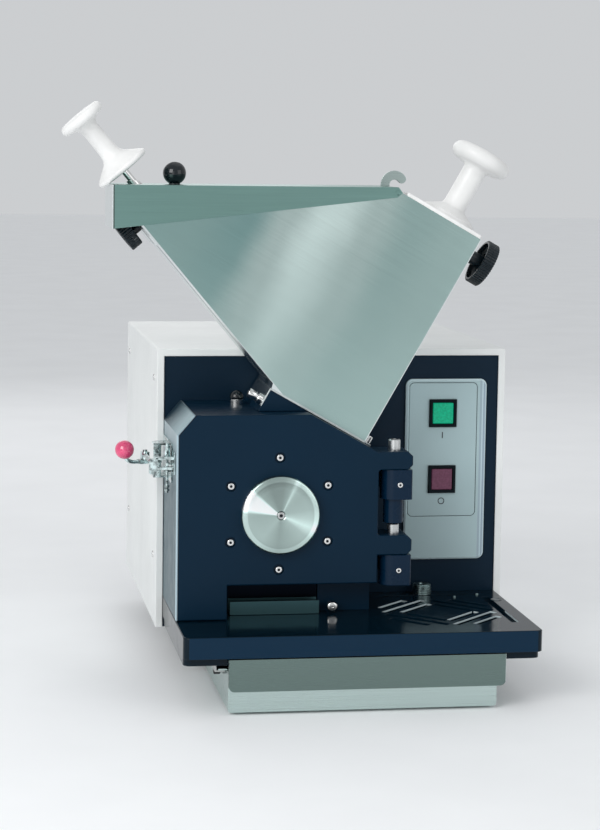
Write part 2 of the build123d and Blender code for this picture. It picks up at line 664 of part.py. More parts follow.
def pulley(x, z, radius, bore):
    """Grooved belt pulley centred on a shaft, revolved from its half section."""
    half = PULLEY_WIDTH / 2
    middle = PULLEY_Y + half
    with BuildPart() as wheel:
        with BuildSketch(Plane(origin=(x, middle, z), x_dir=(0, 1, 0), z_dir=(1, 0, 0))):
            with BuildLine():
                Polyline((-half, bore), (-half, radius), (-half + 3, radius), (-half + 7, radius - 9),
                         (half - 7, radius - 9), (half - 3, radius), (half, radius), (half, bore), close=True)
            make_face()
        revolve(axis=Axis((x, middle, z), (0, 1, 0)))
    return wheel


# Pulleys on the spindle and on the motor shaft
spindle_pulley = pulley(AXIS_X, AXIS_Z, SPINDLE_PULLEY_RADIUS, SPINDLE_RADIUS)
motor_pulley = pulley(MOTOR_X, MOTOR_Z, MOTOR_PULLEY_RADIUS, MOTOR_SHAFT_RADIUS)

# Drive belt round both pulleys, riding just clear of the groove floors
with BuildPart() as drive_belt:
    belt_plane = front_plane(PULLEY_Y + (PULLEY_WIDTH + BELT_WIDTH) / 2)
    for extra, mode in ((BELT_THICKNESS, Mode.ADD), (0, Mode.SUBTRACT)):
        with BuildSketch(belt_plane):
            with Locations((AXIS_X, AXIS_Z)):
                Circle(SPINDLE_PULLEY_RADIUS - 9 + FIT_GAP + extra)
            with Locations((MOTOR_X, MOTOR_Z)):
                Circle(MOTOR_PULLEY_RADIUS - 9 + FIT_GAP + extra)
            make_hull()
        extrude(amount=BELT_WIDTH, mode=mode)

# Motor with its shaft, and the bracket that holds it above the floor
with BuildPart() as motor:
    with BuildSketch(front_plane(MOTOR_START + MOTOR_LENGTH)):
        with Locations((MOTOR_X, MOTOR_Z)):
            Circle(MOTOR_RADIUS)
    extrude(amount=MOTOR_LENGTH)
    chamfer(motor.faces().sort_by(Axis.Y)[0].edges(), length=6)
    chamfer(motor.faces().sort_by(Axis.Y)[-1].edges(), length=6)
    with BuildSketch(front_plane(MOTOR_START)):
        with Locations((MOTOR_X, MOTOR_Z)):
            Circle(24)
    extrude(amount=6)

with BuildPart() as motor_shaft:
    with BuildSketch(front_plane(MOTOR_START - 6)):
        with Locations((MOTOR_X, MOTOR_Z)):
            Circle(MOTOR_SHAFT_RADIUS)
    extrude(amount=MOTOR_START - 6 - PULLEY_Y)

with BuildPart() as motor_bracket:
    bracket_floor = FLOOR_HEIGHT + SHEET
    with Locations((MOTOR_X, MOTOR_START + 20, bracket_floor)):
        Box(120, MOTOR_LENGTH - 40, 4, align=(Align.CENTER, Align.MIN, Align.MIN))
    with BuildSketch(front_plane(MOTOR_START + 30)):
        with Locations((MOTOR_X, bracket_floor + 4)):
            Rectangle(110, MOTOR_Z - bracket_floor - 34, align=(Align.CENTER, Align.MIN))
        with Locations((MOTOR_X, MOTOR_Z)):
            Circle(MOTOR_RADIUS, mode=Mode.SUBTRACT)
    extrude(amount=8)
    with BuildSketch(front_plane(MOTOR_START + MOTOR_LENGTH - 24)):
        with Locations((MOTOR_X, bracket_floor + 4)):
            Rectangle(110, MOTOR_Z - bracket_floor - 34, align=(Align.CENTER, Align.MIN))
        with Locations((MOTOR_X, MOTOR_Z)):
            Circle(MOTOR_RADIUS, mode=Mode.SUBTRACT)
    extrude(amount=8)

# Three fixed knives seated on the bore wall
with BuildPart() as fixed_knives:
    for knife_angle in (2, 128, 184):
        with BuildSketch(front_plane(-BACK_WALL - FIT_GAP)):
            with Locations((AXIS_X, AXIS_Z)):
                Circle(BORE_RADIUS)
                Circle(ROTOR_RADIUS + KNIFE_GAP, mode=Mode.SUBTRACT)
            middle = polar_point(ROTOR_RADIUS + 6, knife_angle)
            with Locations(Location(middle, knife_angle)):
                Rectangle(30, KNIFE_WIDTH, mode=Mode.INTERSECT)
        extrude(amount=-BLOCK_FRONT - BACK_WALL - 2)

# Sieve cassette: a slotted half shell under the rotor with a folded handle in the notch
CASSETTE_SIDE = OUTLET_HALF_WIDTH - 1
with BuildPart() as sieve_cassette:
    with BuildSketch(front_plane(-BACK_WALL - 1)):
        with Locations((AXIS_X, AXIS_Z)):
            Circle(SIEVE_RADIUS + SIEVE_SHEET)
            Circle(SIEVE_RADIUS, mode=Mode.SUBTRACT)
        with BuildLine():
            Polyline((AXIS_X, AXIS_Z), polar_point(90, 270 - SIEVE_ARC / 2), polar_point(90, 270),
                     polar_point(90, 270 + SIEVE_ARC / 2), close=True)
        make_face(mode=Mode.INTERSECT)
    extrude(amount=-BLOCK_FRONT - BACK_WALL - 3)
    for step in range(-6, 7):
        slot_angle = 270 + step * 8.6
        slot_x, slot_z = polar_point(SIEVE_RADIUS + SIEVE_SHEET / 2, slot_angle)
        for slot_y in (-32, -53, -74):
            with Locations(Location((slot_x, slot_y, slot_z), (0, 270 - slot_angle, 0))):
                Box(3.5, 16, 6, mode=Mode.SUBTRACT)
    with BuildSketch(front_plane(BLOCK_FRONT + 3)):
        with Locations((AXIS_X, TABLE_TOP + DOOR_GAP)):
            Rectangle(2 * CASSETTE_SIDE, AXIS_Z - 28 - TABLE_TOP, align=(Align.CENTER, Align.MIN))
        with Locations((AXIS_X, AXIS_Z)):
            Circle(SIEVE_RADIUS, mode=Mode.SUBTRACT)
    extrude(amount=1.5)
    with Locations((AXIS_X, BLOCK_FRONT + 2, TABLE_TOP + DOOR_GAP)):
        Box(2 * CASSETTE_SIDE, 17, 1.5, align=(Align.CENTER, Align.MAX, Align.MIN))
    with Locations((AXIS_X, BLOCK_FRONT - 15, TABLE_TOP + DOOR_GAP)):
        Box(2 * CASSETTE_SIDE, 1.5, 15, align=(Align.CENTER, Align.MAX, Align.MIN))

# Round-head screw standing in the table beside the cassette
with BuildPart() as cassette_screw:
    screw_x = AXIS_X + OUTLET_HALF_WIDTH + 14
    with BuildSketch(front_plane(BLOCK_FRONT)):
        with Locations((screw_x, TABLE_TOP + 7.5)):
            Circle(3)
    extrude(amount=12)
    with BuildSketch(front_plane(BLOCK_FRONT - 12)):
        with Locations((screw_x, TABLE_TOP + 7.5)):
            Circle(6)
    extrude(amount=6)
    chamfer(cassette_screw.faces().sort_by(Axis.Y)[0].edges(), length=1.5)

# Hopper: cheeks, right wall, chute wall with its doubler, foot tab and flange in thin sheet
hopper_outline = [hopper_point(-MOUTH_LENGTH, 0), hopper_point(0, 0), hopper_point(0, CHANNEL_LENGTH),
                  hopper_point(-CHANNEL_WIDTH, CHANNEL_LENGTH)]
channel_corner = hopper_outline[-1]
top_run = (HOPPER_TOP - channel_corner[1]) * TILT_COS / TILT_SIN
chute_rise = (CHUTE_FOOT[0] - CHUTE_LEFT) * CHUTE_SIN / CHUTE_COS
hopper_outline += [(channel_corner[0] - top_run, HOPPER_TOP), (CHUTE_LEFT, HOPPER_TOP),
                   (CHUTE_LEFT, CHUTE_FOOT[1] + chute_rise), CHUTE_FOOT]
HOPPER_DEPTH = HOPPER_BACK - HOPPER_FRONT
right_knob_x, right_knob_z = hopper_point(0, RIGHT_KNOB_ALONG)
left_knob_x, left_knob_z = chute_point(LEFT_KNOB_ALONG, 0)
RIGHT_KNOB_PLANE = axis_plane(right_knob_x, MID_Y, right_knob_z, SLOPE_DIRECTION, CHANNEL_DIRECTION)
LEFT_KNOB_PLANE = axis_plane(left_knob_x, MID_Y, left_knob_z, -CHUTE_INWARD, CHUTE_DIRECTION)
with BuildPart() as hopper:
    with BuildSketch(front_plane(HOPPER_BACK)):
        with BuildLine():
            Polyline(*hopper_outline, close=True)
        make_face()
    extrude(amount=HOPPER_DEPTH)
    with BuildSketch(front_plane(HOPPER_BACK - HOPPER_SHEET)):
        with BuildLine():
            Polyline(hopper_point(-MOUTH_LENGTH + HOPPER_SHEET, -1), hopper_point(-HOPPER_SHEET, -1),
                     hopper_point(-HOPPER_SHEET, CHANNEL_LENGTH + 1),
                     hopper_point(-CHANNEL_WIDTH - 1, CHANNEL_LENGTH + 1),
                     (channel_corner[0] - top_run, HOPPER_TOP + 1), (CHUTE_LEFT + HOPPER_SHEET, HOPPER_TOP + 1),
                     (CHUTE_LEFT + HOPPER_SHEET, CHUTE_FOOT[1] + chute_rise + 0.9),
                     (CHUTE_FOOT[0] + HOPPER_SHEET, CHUTE_FOOT[1] + 0.6), close=True)
        make_face()
    extrude(amount=HOPPER_DEPTH - 2 * HOPPER_SHEET, mode=Mode.SUBTRACT)
    with BuildSketch(front_plane(HOPPER_BACK)):
        with BuildLine():
            Polyline(hopper_point(-MOUTH_LENGTH, 0), hopper_point(-MOUTH_LENGTH - HOPPER_SHEET, 0),
                     hopper_point(-MOUTH_LENGTH - HOPPER_SHEET, -TAB_LENGTH),
                     hopper_point(-MOUTH_LENGTH, -TAB_LENGTH), close=True)
        make_face()
        with BuildLine():
            Polyline(hopper_point(-MOUTH_LENGTH - HOPPER_SHEET, 0), hopper_point(-MOUTH_LENGTH + HOPPER_SHEET, 0),
                     hopper_point(-MOUTH_LENGTH + HOPPER_SHEET, HOPPER_SHEET),
                     hopper_point(-MOUTH_LENGTH - HOPPER_SHEET, HOPPER_SHEET), close=True)
        make_face()
    extrude(amount=HOPPER_BACK - RAISED_FRONT)
    with BuildSketch(front_plane(HOPPER_BACK)):
        with BuildLine():
            Polyline(hopper_point(-HOPPER_SHEET, 0), hopper_point(FLANGE_REACH, 0),
                     hopper_point(FLANGE_REACH, HOPPER_SHEET), hopper_point(-HOPPER_SHEET, HOPPER_SHEET),
                     close=True)
        make_face()
    extrude(amount=HOPPER_BACK - BLOCK_FRONT - 1)
    with BuildSketch(front_plane(HOPPER_BACK)):
        with BuildLine():
            Polyline(chute_point(DOUBLER_START, 0), chute_point(DOUBLER_START, -DOUBLER_THICKNESS),
                     chute_point(DOUBLER_END, -DOUBLER_THICKNESS), chute_point(DOUBLER_END, 0), close=True)
        make_face()
    extrude(amount=HOPPER_DEPTH)
    for knob_plane in (RIGHT_KNOB_PLANE, LEFT_KNOB_PLANE):
        with BuildSketch(knob_plane.offset(-HOPPER_SHEET - 1)):
            Circle(STUD_RADIUS + PIN_CLEARANCE)
        extrude(amount=HOPPER_SHEET + DOUBLER_THICKNESS + 2, mode=Mode.SUBTRACT)

# Clamp screw through the foot tab: a long two-step head
tab_outside = -MOUTH_LENGTH - HOPPER_SHEET
CLAMP_Y = -92
clamp_x, clamp_z = hopper_point(tab_outside, -14)
CLAMP_PLANE = axis_plane(clamp_x, CLAMP_Y, clamp_z, -SLOPE_DIRECTION, CHANNEL_DIRECTION)
with BuildPart() as hopper_clamp_screw:
    with BuildSketch(CLAMP_PLANE):
        Circle(6)
    extrude(amount=6)
    with BuildSketch(CLAMP_PLANE.offset(6)):
        Circle(4)
    extrude(amount=2)
    with BuildSketch(CLAMP_PLANE.offset(8)):
        Circle(5.3)
    extrude(amount=9)

# Socket screw through the right flange
flange_x, flange_z = hopper_point(6.5, HOPPER_SHEET)
with BuildPart() as hopper_flange_screw:
    with BuildSketch(axis_plane(flange_x, BLOCK_FRONT + 10, flange_z, CHANNEL_DIRECTION, SLOPE_DIRECTION)):
        Circle(4.7)
    extrude(amount=8)
    with BuildSketch(axis_plane(flange_x, BLOCK_FRONT + 10, flange_z, CHANNEL_DIRECTION,
                                SLOPE_DIRECTION).offset(5)):
        RegularPolygon(2.6, 6)
    extrude(amount=4, mode=Mode.SUBTRACT)

# Lid: a top plate with wedge-shaped side flaps and a closed left end
LID_FRONT = HOPPER_FRONT - LID_SIDE_GAP - LID_SHEET
LID_BACK = HOPPER_BACK + LID_SIDE_GAP + LID_SHEET
ROD_X, ROD_Z = chute_point(ROD_LID_POINT, ROD_WALL_DISTANCE)
GUIDE_RADIUS = 8
with BuildPart() as lid:
    with BuildSketch(front_plane(LID_BACK)):
        with BuildLine():
            Polyline((LID_LEFT, LID_TOP), (LID_RIGHT, LID_TOP), (LID_RIGHT + 4.5, LID_PIVOT[1]),
                     (LID_PIVOT[0], LID_PIVOT[1] - 5), (LID_LEFT, LID_TOP - FLAP_DROP), close=True)
        make_face()
    extrude(amount=LID_BACK - LID_FRONT)
    with BuildSketch(front_plane(LID_BACK - LID_SHEET)):
        with BuildLine():
            Polyline((LID_LEFT + LID_SHEET, LID_TOP - LID_SHEET), (LID_RIGHT + 6, LID_TOP - LID_SHEET),
                     (LID_RIGHT + 6, LID_TOP - FLAP_DROP - 2), (LID_LEFT + LID_SHEET, LID_TOP - FLAP_DROP - 2),
                     close=True)
        make_face()
    extrude(amount=LID_BACK - LID_FRONT - 2 * LID_SHEET, mode=Mode.SUBTRACT)
    with BuildSketch(axis_plane(ROD_X, MID_Y, ROD_Z, CHUTE_DIRECTION, CHUTE_INWARD).offset(-20)):
        Circle(GUIDE_RADIUS - 2)
    extrude(amount=40, mode=Mode.SUBTRACT)
    with BuildSketch(front_plane(LID_BACK)):
        with Locations(LID_PIVOT):
            Circle(LID_PIVOT_RADIUS)
    extrude(amount=LID_BACK - LID_FRONT, mode=Mode.SUBTRACT)

# Guide bush for the plunger rod, a slanted collar through the lid
guide_plane = axis_plane(ROD_X, MID_Y, ROD_Z, CHUTE_DIRECTION, CHUTE_INWARD)
with BuildPart() as rod_guide:
    with BuildSketch(guide_plane.offset(-14)):
        Circle(GUIDE_RADIUS - 2)
    extrude(amount=24)
    with BuildSketch(guide_plane.offset(-14)):
        Circle(ROD_RADIUS + PIN_CLEARANCE)
    extrude(amount=24, mode=Mode.SUBTRACT)
    split(bisect_by=Plane(origin=(0, 0, LID_TOP + 4), z_dir=(0, 0, 1)), keep=Keep.BOTTOM)

# Black ball knob of the lid with its neck
with BuildPart() as lid_knob:
    with BuildSketch(Plane(origin=(KNOB_BALL_X, MID_Y, LID_TOP))):
        Circle(5)
    extrude(amount=4)
    with Locations((KNOB_BALL_X, MID_Y, LID_TOP + KNOB_BALL_RADIUS - 0.4)):
        Sphere(KNOB_BALL_RADIUS)
    split(bisect_by=Plane(origin=(0, 0, LID_TOP), z_dir=(0, 0, 1)), keep=Keep.TOP)

# Flat hook at the lid's right end, which stops the lid on the channel cover
HOOK_THICKNESS = 3
with BuildPart() as lid_hook:
    with BuildSketch(front_plane(MID_Y + HOOK_THICKNESS / 2)):
        with BuildLine():
            hook_outer = Spline((38.5, LID_TOP), (44, LID_TOP + 14), (56, LID_TOP + 17.3),
                                (69, LID_TOP + 10), tangents=((0.1, 1), (0.2, -1)))
            hook_tip = Spline(hook_outer @ 1, (62, LID_TOP + 4.7), tangents=((0.2, -1), (-1, 0.3)))
            hook_inner = Spline(hook_tip @ 1, (55, LID_TOP + 6.3), (48.5, LID_TOP),
                                tangents=((-1, 0.3), (-0.1, -1)))
            Line(hook_inner @ 1, hook_outer @ 0)
        make_face()
    extrude(amount=HOOK_THICKNESS)

# Flush pins that the lid swings on, fixed in the hopper's cheeks
with BuildPart() as lid_rivets:
    for wall_y, outwards in ((HOPPER_FRONT, 1), (HOPPER_BACK, -1)):
        with BuildSketch(front_plane(wall_y)):
            with Locations(LID_PIVOT):
                Circle(LID_PIVOT_RADIUS - PIN_CLEARANCE)
        extrude(amount=outwards * (LID_SIDE_GAP + LID_SHEET))

# Left plunger: white handle with a flange and a grip disc on the rod's axis
with BuildPart() as left_plunger_handle:
    handle_plane = Plane(origin=(ROD_X, MID_Y, ROD_Z), x_dir=CHUTE_INWARD, z_dir=(0, -1, 0))
    grip_start = LEFT_FLANGE_RISE + 28
    handle_end = LEFT_FLANGE_RISE + LEFT_HANDLE_LENGTH
    with BuildSketch(handle_plane):
        with BuildLine():
            flange = Polyline((0, LEFT_FLANGE_RISE), (LEFT_FLANGE_RADIUS - 2, LEFT_FLANGE_RISE),
                              (LEFT_FLANGE_RADIUS, LEFT_FLANGE_RISE + 2),
                              (LEFT_FLANGE_RADIUS, LEFT_FLANGE_RISE + 4))
            cone = Spline(flange @ 1, (14, LEFT_FLANGE_RISE + 15), (LEFT_GRIP_RADIUS, grip_start),
                          tangents=((-1, 0.5), (0, 1)))
            grip = Line(cone @ 1, (LEFT_GRIP_RADIUS, handle_end - 22))
            neck = Spline(grip @ 1, (LEFT_DISC_RADIUS - 6, handle_end - 12), tangents=((0, 1), (1, 0.15)))
            rim = Spline(neck @ 1, (LEFT_DISC_RADIUS, handle_end - 6), (LEFT_DISC_RADIUS - 6, handle_end),
                         tangents=((1, 0.15), (-1, 0)))
            Polyline(rim @ 1, (0, handle_end), (0, LEFT_FLANGE_RISE))
        make_face()
    revolve(axis=Axis((ROD_X, MID_Y, ROD_Z), CHUTE_DIRECTION))

# Its steel rod with the small pusher plate inside the chute
with BuildPart() as left_plunger_rod:
    rod_bottom = ROD_END - ROD_LID_POINT
    with BuildSketch(guide_plane.offset(rod_bottom)):
        Circle(ROD_RADIUS)
    extrude(amount=LEFT_FLANGE_RISE - rod_bottom)
    with BuildSketch(guide_plane.offset(rod_bottom)):
        RectangleRounded(2 * PUSHER_HALF_WIDTH, 84, 4)
    extrude(amount=4)

# White cover plate on the mouth of the right channel
cover_low = -CHANNEL_WIDTH - 4
cover_x, cover_z = hopper_point(0, CHANNEL_LENGTH)
cover_plane = axis_plane(cover_x, MID_Y, cover_z, CHANNEL_DIRECTION, SLOPE_DIRECTION)
with BuildPart() as channel_cover:
    with BuildSketch(cover_plane):
        with Locations(((cover_low - 1) / 2, 0)):
            RectangleRounded(-cover_low - 1, HOPPER_DEPTH + 2, 3)
        with Locations((-RIGHT_AXIS_INSET, 0)):
            Circle(RIGHT_SHAFT_RADIUS + 0.1, mode=Mode.SUBTRACT)
    extrude(amount=COVER_THICKNESS)

# Right plunger: thick white handle, shaft and a pusher disc down in the channel
with BuildPart() as right_plunger:
    plunger_x, plunger_z = hopper_point(-RIGHT_AXIS_INSET, CHANNEL_LENGTH + COVER_THICKNESS)
    plunger_plane = Plane(origin=(plunger_x, MID_Y, plunger_z), x_dir=SLOPE_DIRECTION, z_dir=(0, -1, 0))
    foot = COVER_THICKNESS - RIGHT_PLUNGER_REACH
    with BuildSketch(plunger_plane):
        with BuildLine():
            stem = Polyline((0, foot), (26, foot), (28, foot + 2), (28, foot + 10), (26, foot + 12),
                            (RIGHT_SHAFT_RADIUS, foot + 14), (RIGHT_SHAFT_RADIUS, FIT_GAP),
                            (RIGHT_FLANGE_RADIUS - 1, FIT_GAP), (RIGHT_FLANGE_RADIUS, 1.5),
                            (RIGHT_FLANGE_RADIUS, 5))
            bell = Spline(stem @ 1, (18, 16), (RIGHT_GRIP_RADIUS, 32), tangents=((-1, 0.8), (0, 1)))
            shaft = Line(bell @ 1, (RIGHT_GRIP_RADIUS, 46))
            neck = Spline(shaft @ 1, (RIGHT_DISC_RADIUS - 7, 61), tangents=((0, 1), (1, 0.2)))
            rim = Spline(neck @ 1, (RIGHT_DISC_RADIUS, 69),
                         (RIGHT_DISC_RADIUS - 7, RIGHT_HANDLE_LENGTH - 1), tangents=((1, 0.2), (-1, 0.1)))
            Polyline(rim @ 1, (0, RIGHT_HANDLE_LENGTH), (0, foot))
        make_face()
    revolve(axis=Axis((plunger_x, MID_Y, plunger_z), CHANNEL_DIRECTION))


def knurled_knob(plane, radius, standoff, seat):
    """Clamp knob: fluted rim, hollow towards its seat on the wall, with its hub and threaded stud."""
    with BuildPart() as knob:
        with BuildSketch(plane.offset(standoff)):
            Circle(radius)
            with PolarLocations(radius + 0.4, KNOB_FLUTES):
                Circle(KNOB_FLUTE_RADIUS, mode=Mode.SUBTRACT)
        extrude(amount=KNOB_THICKNESS)
        with BuildSketch(plane.offset(standoff)):
            Circle(radius - KNOB_RIM)
        extrude(amount=KNOB_THICKNESS - KNOB_HOLLOW, mode=Mode.SUBTRACT)
        with BuildSketch(plane.offset(seat + FIT_GAP)):
            Circle(KNOB_HUB_RADIUS)
        extrude(amount=standoff + KNOB_THICKNESS - KNOB_HOLLOW - seat - FIT_GAP + 1)
        with BuildSketch(plane.offset(-HOPPER_SHEET - STUD_INSIDE)):
            Circle(STUD_RADIUS)
        extrude(amount=HOPPER_SHEET + STUD_INSIDE + seat + 2)
    return knob


# Clamp knobs on the right wall and on the chute wall
right_knob = knurled_knob(RIGHT_KNOB_PLANE, RIGHT_KNOB_RADIUS, RIGHT_KNOB_STANDOFF, 0)
left_knob = knurled_knob(LEFT_KNOB_PLANE, LEFT_KNOB_RADIUS, LEFT_KNOB_STANDOFF, DOUBLER_THICKNESS)

# Control panel: raised grey bezel with rounded corners and a fine groove round its field
with BuildPart() as control_bezel:
    panel_width = PANEL_RIGHT - PANEL_LEFT
    panel_height = PANEL_TOP - PANEL_BOTTOM
    centre = ((PANEL_LEFT + PANEL_RIGHT) / 2, (PANEL_BOTTOM + PANEL_TOP) / 2)
    with BuildSketch(front_plane(PANEL_FRONT)):
        with Locations(centre):
            RectangleRounded(panel_width, panel_height, 8)
        with Locations((BUTTON_X, START_Z), (BUTTON_X, STOP_Z)):
            Rectangle(CAP_SIDE + 2, CAP_SIDE + 2, mode=Mode.SUBTRACT)
    extrude(amount=PANEL_PROUD)
    chamfer(control_bezel.faces().sort_by(Axis.Y)[0].outer_wire().edges(), length=2)
    with BuildSketch(front_plane(PANEL_FRONT - PANEL_PROUD + 0.8)):
        with Locations(((PANEL_LEFT + 3.6 + PANEL_RIGHT - 11) / 2, (172 + PANEL_TOP - 4) / 2)):
            RectangleRounded(PANEL_RIGHT - 11 - PANEL_LEFT - 3.6, PANEL_TOP - 4 - 172, 6)
            RectangleRounded(PANEL_RIGHT - 12.6 - PANEL_LEFT - 3.6, PANEL_TOP - 5.6 - 172, 5.2,
                             mode=Mode.SUBTRACT)
    extrude(amount=0.8, mode=Mode.SUBTRACT)


def button_frame(height):
    """Square black frame round a push button, with its body behind the panel."""
    with BuildPart() as frame:
        with BuildSketch(front_plane(BEZEL_FACE)):
            with Locations((BUTTON_X, height)):
                Rectangle(FRAME_SIDE, FRAME_SIDE)
        extrude(amount=FRAME_PROUD)
        chamfer(frame.faces().sort_by(Axis.Y)[0].outer_wire().edges(), length=0.8)
        with BuildSketch(front_plane(BEZEL_FACE + SWITCH_LENGTH)):
            with Locations((BUTTON_X, height)):
                Rectangle(CAP_SIDE + 1.6, CAP_SIDE + 1.6)
        extrude(amount=SWITCH_LENGTH)
        with BuildSketch(front_plane(BEZEL_FACE + BUTTON_TRAVEL + CAP_SEAT)):
            with Locations((BUTTON_X, height)):
                Rectangle(CAP_SIDE + 2 * CAP_GAP, CAP_SIDE + 2 * CAP_GAP)
        extrude(amount=BUTTON_TRAVEL + CAP_SEAT + FRAME_PROUD, mode=Mode.SUBTRACT)
    return frame


def button_cap(height):
    """Square illuminated cap that travels back into its frame."""
    with BuildPart() as cap:
        with BuildSketch(front_plane(BEZEL_FACE + CAP_SEAT - 1)):
            with Locations((BUTTON_X, height)):
                RectangleRounded(CAP_SIDE, CAP_SIDE, 1.5)
        extrude(amount=CAP_SEAT - 1 + FRAME_PROUD - 0.6)
        chamfer(cap.faces().sort_by(Axis.Y)[0].edges(), length=0.7)
    return cap


start_frame = button_frame(START_Z)
stop_frame = button_frame(STOP_Z)
start_button = button_cap(START_Z)
stop_button = button_cap(STOP_Z)

# Collecting drawer: an open stainless tray with side flanges and a folded handle plate
with BuildPart() as drawer:
    drawer_width = DRAWER_RIGHT - DRAWER_LEFT
    drawer_depth = DRAWER_BACK - DRAWER_FRONT
    drawer_height = DRAWER_TOP - DRAWER_BOTTOM
    drawer_x = (DRAWER_LEFT + DRAWER_RIGHT) / 2
    with Locations((drawer_x, DRAWER_FRONT, DRAWER_BOTTOM)):
        Box(drawer_width, drawer_depth, drawer_height, align=(Align.CENTER, Align.MIN, Align.MIN))
    fillet(drawer.edges().filter_by(Axis.Y).group_by(Axis.Z)[0], radius=3)
    with Locations((drawer_x, DRAWER_FRONT + DRAWER_SHEET, DRAWER_BOTTOM + DRAWER_SHEET)):
        Box(drawer_width - 2 * DRAWER_SHEET, drawer_depth - 2 * DRAWER_SHEET, drawer_height,
            align=(Align.CENTER, Align.MIN, Align.MIN), mode=Mode.SUBTRACT)
    for side, edge_x in ((-1, DRAWER_LEFT), (1, DRAWER_RIGHT)):
        with Locations((edge_x + side * (DRAWER_FLANGE - DRAWER_SHEET) / 2, DRAWER_FRONT + 12, DRAWER_TOP)):
            Box(DRAWER_FLANGE + DRAWER_SHEET, drawer_depth - 12, DRAWER_SHEET,
                align=(Align.CENTER, Align.MIN, Align.MAX))
    handle_left = DRAWER_LEFT
    handle_width = DRAWER_RIGHT + HANDLE_OVERHANG - handle_left
    with BuildSketch(front_plane(DRAWER_FRONT)):
        with Locations((handle_left, HANDLE_BOTTOM)):
            Rectangle(handle_width, HANDLE_TOP - HANDLE_BOTTOM, align=(Align.MIN, Align.MIN))
        fillet(vertices().group_by(Axis.Y)[0], radius=6)
    extrude(amount=DRAWER_SHEET)
    with BuildSketch(front_plane(DRAWER_FRONT - 5)):
        with Locations((handle_left, HANDLE_BOTTOM)):
            Rectangle(handle_width, HANDLE_TOP - HANDLE_BOTTOM, align=(Align.MIN, Align.MIN))
        fillet(vertices().group_by(Axis.Y)[0], radius=6)
    extrude(amount=DRAWER_SHEET)
    with Locations((handle_left, DRAWER_FRONT, HANDLE_TOP)):
        Box(handle_width, 5 + DRAWER_SHEET, DRAWER_SHEET, align=(Align.MIN, Align.MAX, Align.MAX))

# Runner rails screwed under the table, with a lip that carries the drawer's flange
RAIL_LIP_TOP = DRAWER_TOP - DRAWER_SHEET - FIT_GAP
with BuildPart() as drawer_rails:
    for side, edge_x in ((-1, DRAWER_LEFT), (1, DRAWER_RIGHT)):
        with BuildSketch(front_plane(DRAWER_BACK)):
            inner = edge_x + side * 1.5
            outer = edge_x + side * (DRAWER_FLANGE + 1.5)
            with BuildLine():
                Polyline((outer + side * 12, TABLE_BOTTOM), (outer, TABLE_BOTTOM), (outer, RAIL_LIP_TOP),
                         (inner, RAIL_LIP_TOP), (inner, RAIL_LIP_TOP - 2), (outer + side * 2, RAIL_LIP_TOP - 2),
                         (outer + side * 2, TABLE_BOTTOM - 2), (outer + side * 12, TABLE_BOTTOM - 2), close=True)
            make_face()
        extrude(amount=DRAWER_BACK - DRAWER_FRONT - 14)

# Rounded black glide blocks under the rail lips
with BuildPart() as drawer_glides:
    for side, edge_x in ((-1, DRAWER_LEFT), (1, DRAWER_RIGHT)):
        glide_x = edge_x + side * 2
        with BuildSketch(side_plane(min(glide_x, glide_x + side * 7))):
            for glide_y in (-150, -60):
                with Locations((glide_y, RAIL_LIP_TOP - 2)):
                    Rectangle(26, 4, align=(Align.CENTER, Align.MAX))
                with Locations((glide_y, RAIL_LIP_TOP - 6)):
                    Circle(7)
            with Locations((-105, RAIL_LIP_TOP - 2)):
                Rectangle(200, 40, align=(Align.CENTER, Align.MIN), mode=Mode.SUBTRACT)
        extrude(amount=7)

# Latch bracket: a plate on the fixed block's side, two ears and a cheek joined by the pivot pin
pivot_x, pivot_y = LATCH_PIVOT
plate_front, plate_back, plate_bottom, plate_top = LATCH_PLATE
with BuildPart() as latch_bracket:
    with BuildSketch(side_plane(BLOCK_LEFT - LATCH_SHEET)):
        with Locations(((plate_front + plate_back) / 2, (plate_bottom + plate_top) / 2)):
            RectangleRounded(plate_back - plate_front, plate_top - plate_bottom, 3)
    extrude(amount=LATCH_SHEET)
    for ear_z in (plate_bottom, LATCH_EAR_TOP - LATCH_SHEET):
        with BuildSketch(Plane.XY.offset(ear_z)):
            with BuildLine():
                Polyline((BLOCK_LEFT - 1, LATCH_CHEEK_FRONT), (LATCH_CHEEK_LEFT, LATCH_CHEEK_FRONT),
                         (LATCH_CHEEK_LEFT, pivot_y + 5), (pivot_x, pivot_y + 9),
                         (BLOCK_LEFT - 1, pivot_y + 16), close=True)
            make_face()
        extrude(amount=LATCH_SHEET)
    with BuildSketch(front_plane(LATCH_CHEEK_FRONT + LATCH_SHEET)):
        with Locations((LATCH_CHEEK_LEFT, plate_bottom)):
            Rectangle(LATCH_CHEEK_RIGHT - LATCH_CHEEK_LEFT, LATCH_EAR_TOP - plate_bottom,
                      align=(Align.MIN, Align.MIN))
    extrude(amount=LATCH_SHEET)
    with BuildSketch(Plane.XY.offset(plate_bottom)):
        with Locations(LATCH_PIVOT):
            Circle(LATCH_PIN_RADIUS)
    extrude(amount=LATCH_EAR_TOP - plate_bottom)

    # Spring bolt beside the door's edge: a barrel on a washer, with its stud and two nuts below
    for low, high, radius in ((217, 271, 1.6), (254, 269, SPRING_BOLT_RADIUS),
                              (240, 242, SPRING_BOLT_RADIUS + 0.5), (219, 221, 2.8), (223, 225, 2.8)):
        with BuildSketch(Plane.XY.offset(low)):
            with Locations(SPRING_BOLT):
                Circle(radius)
        extrude(amount=high - low)
    with Locations((BLOCK_LEFT - 1, SPRING_BOLT[1], 248)):
        Box(BLOCK_LEFT - 1 - SPRING_BOLT[0], 9, LATCH_SHEET, align=(Align.MAX, Align.CENTER, Align.MIN))

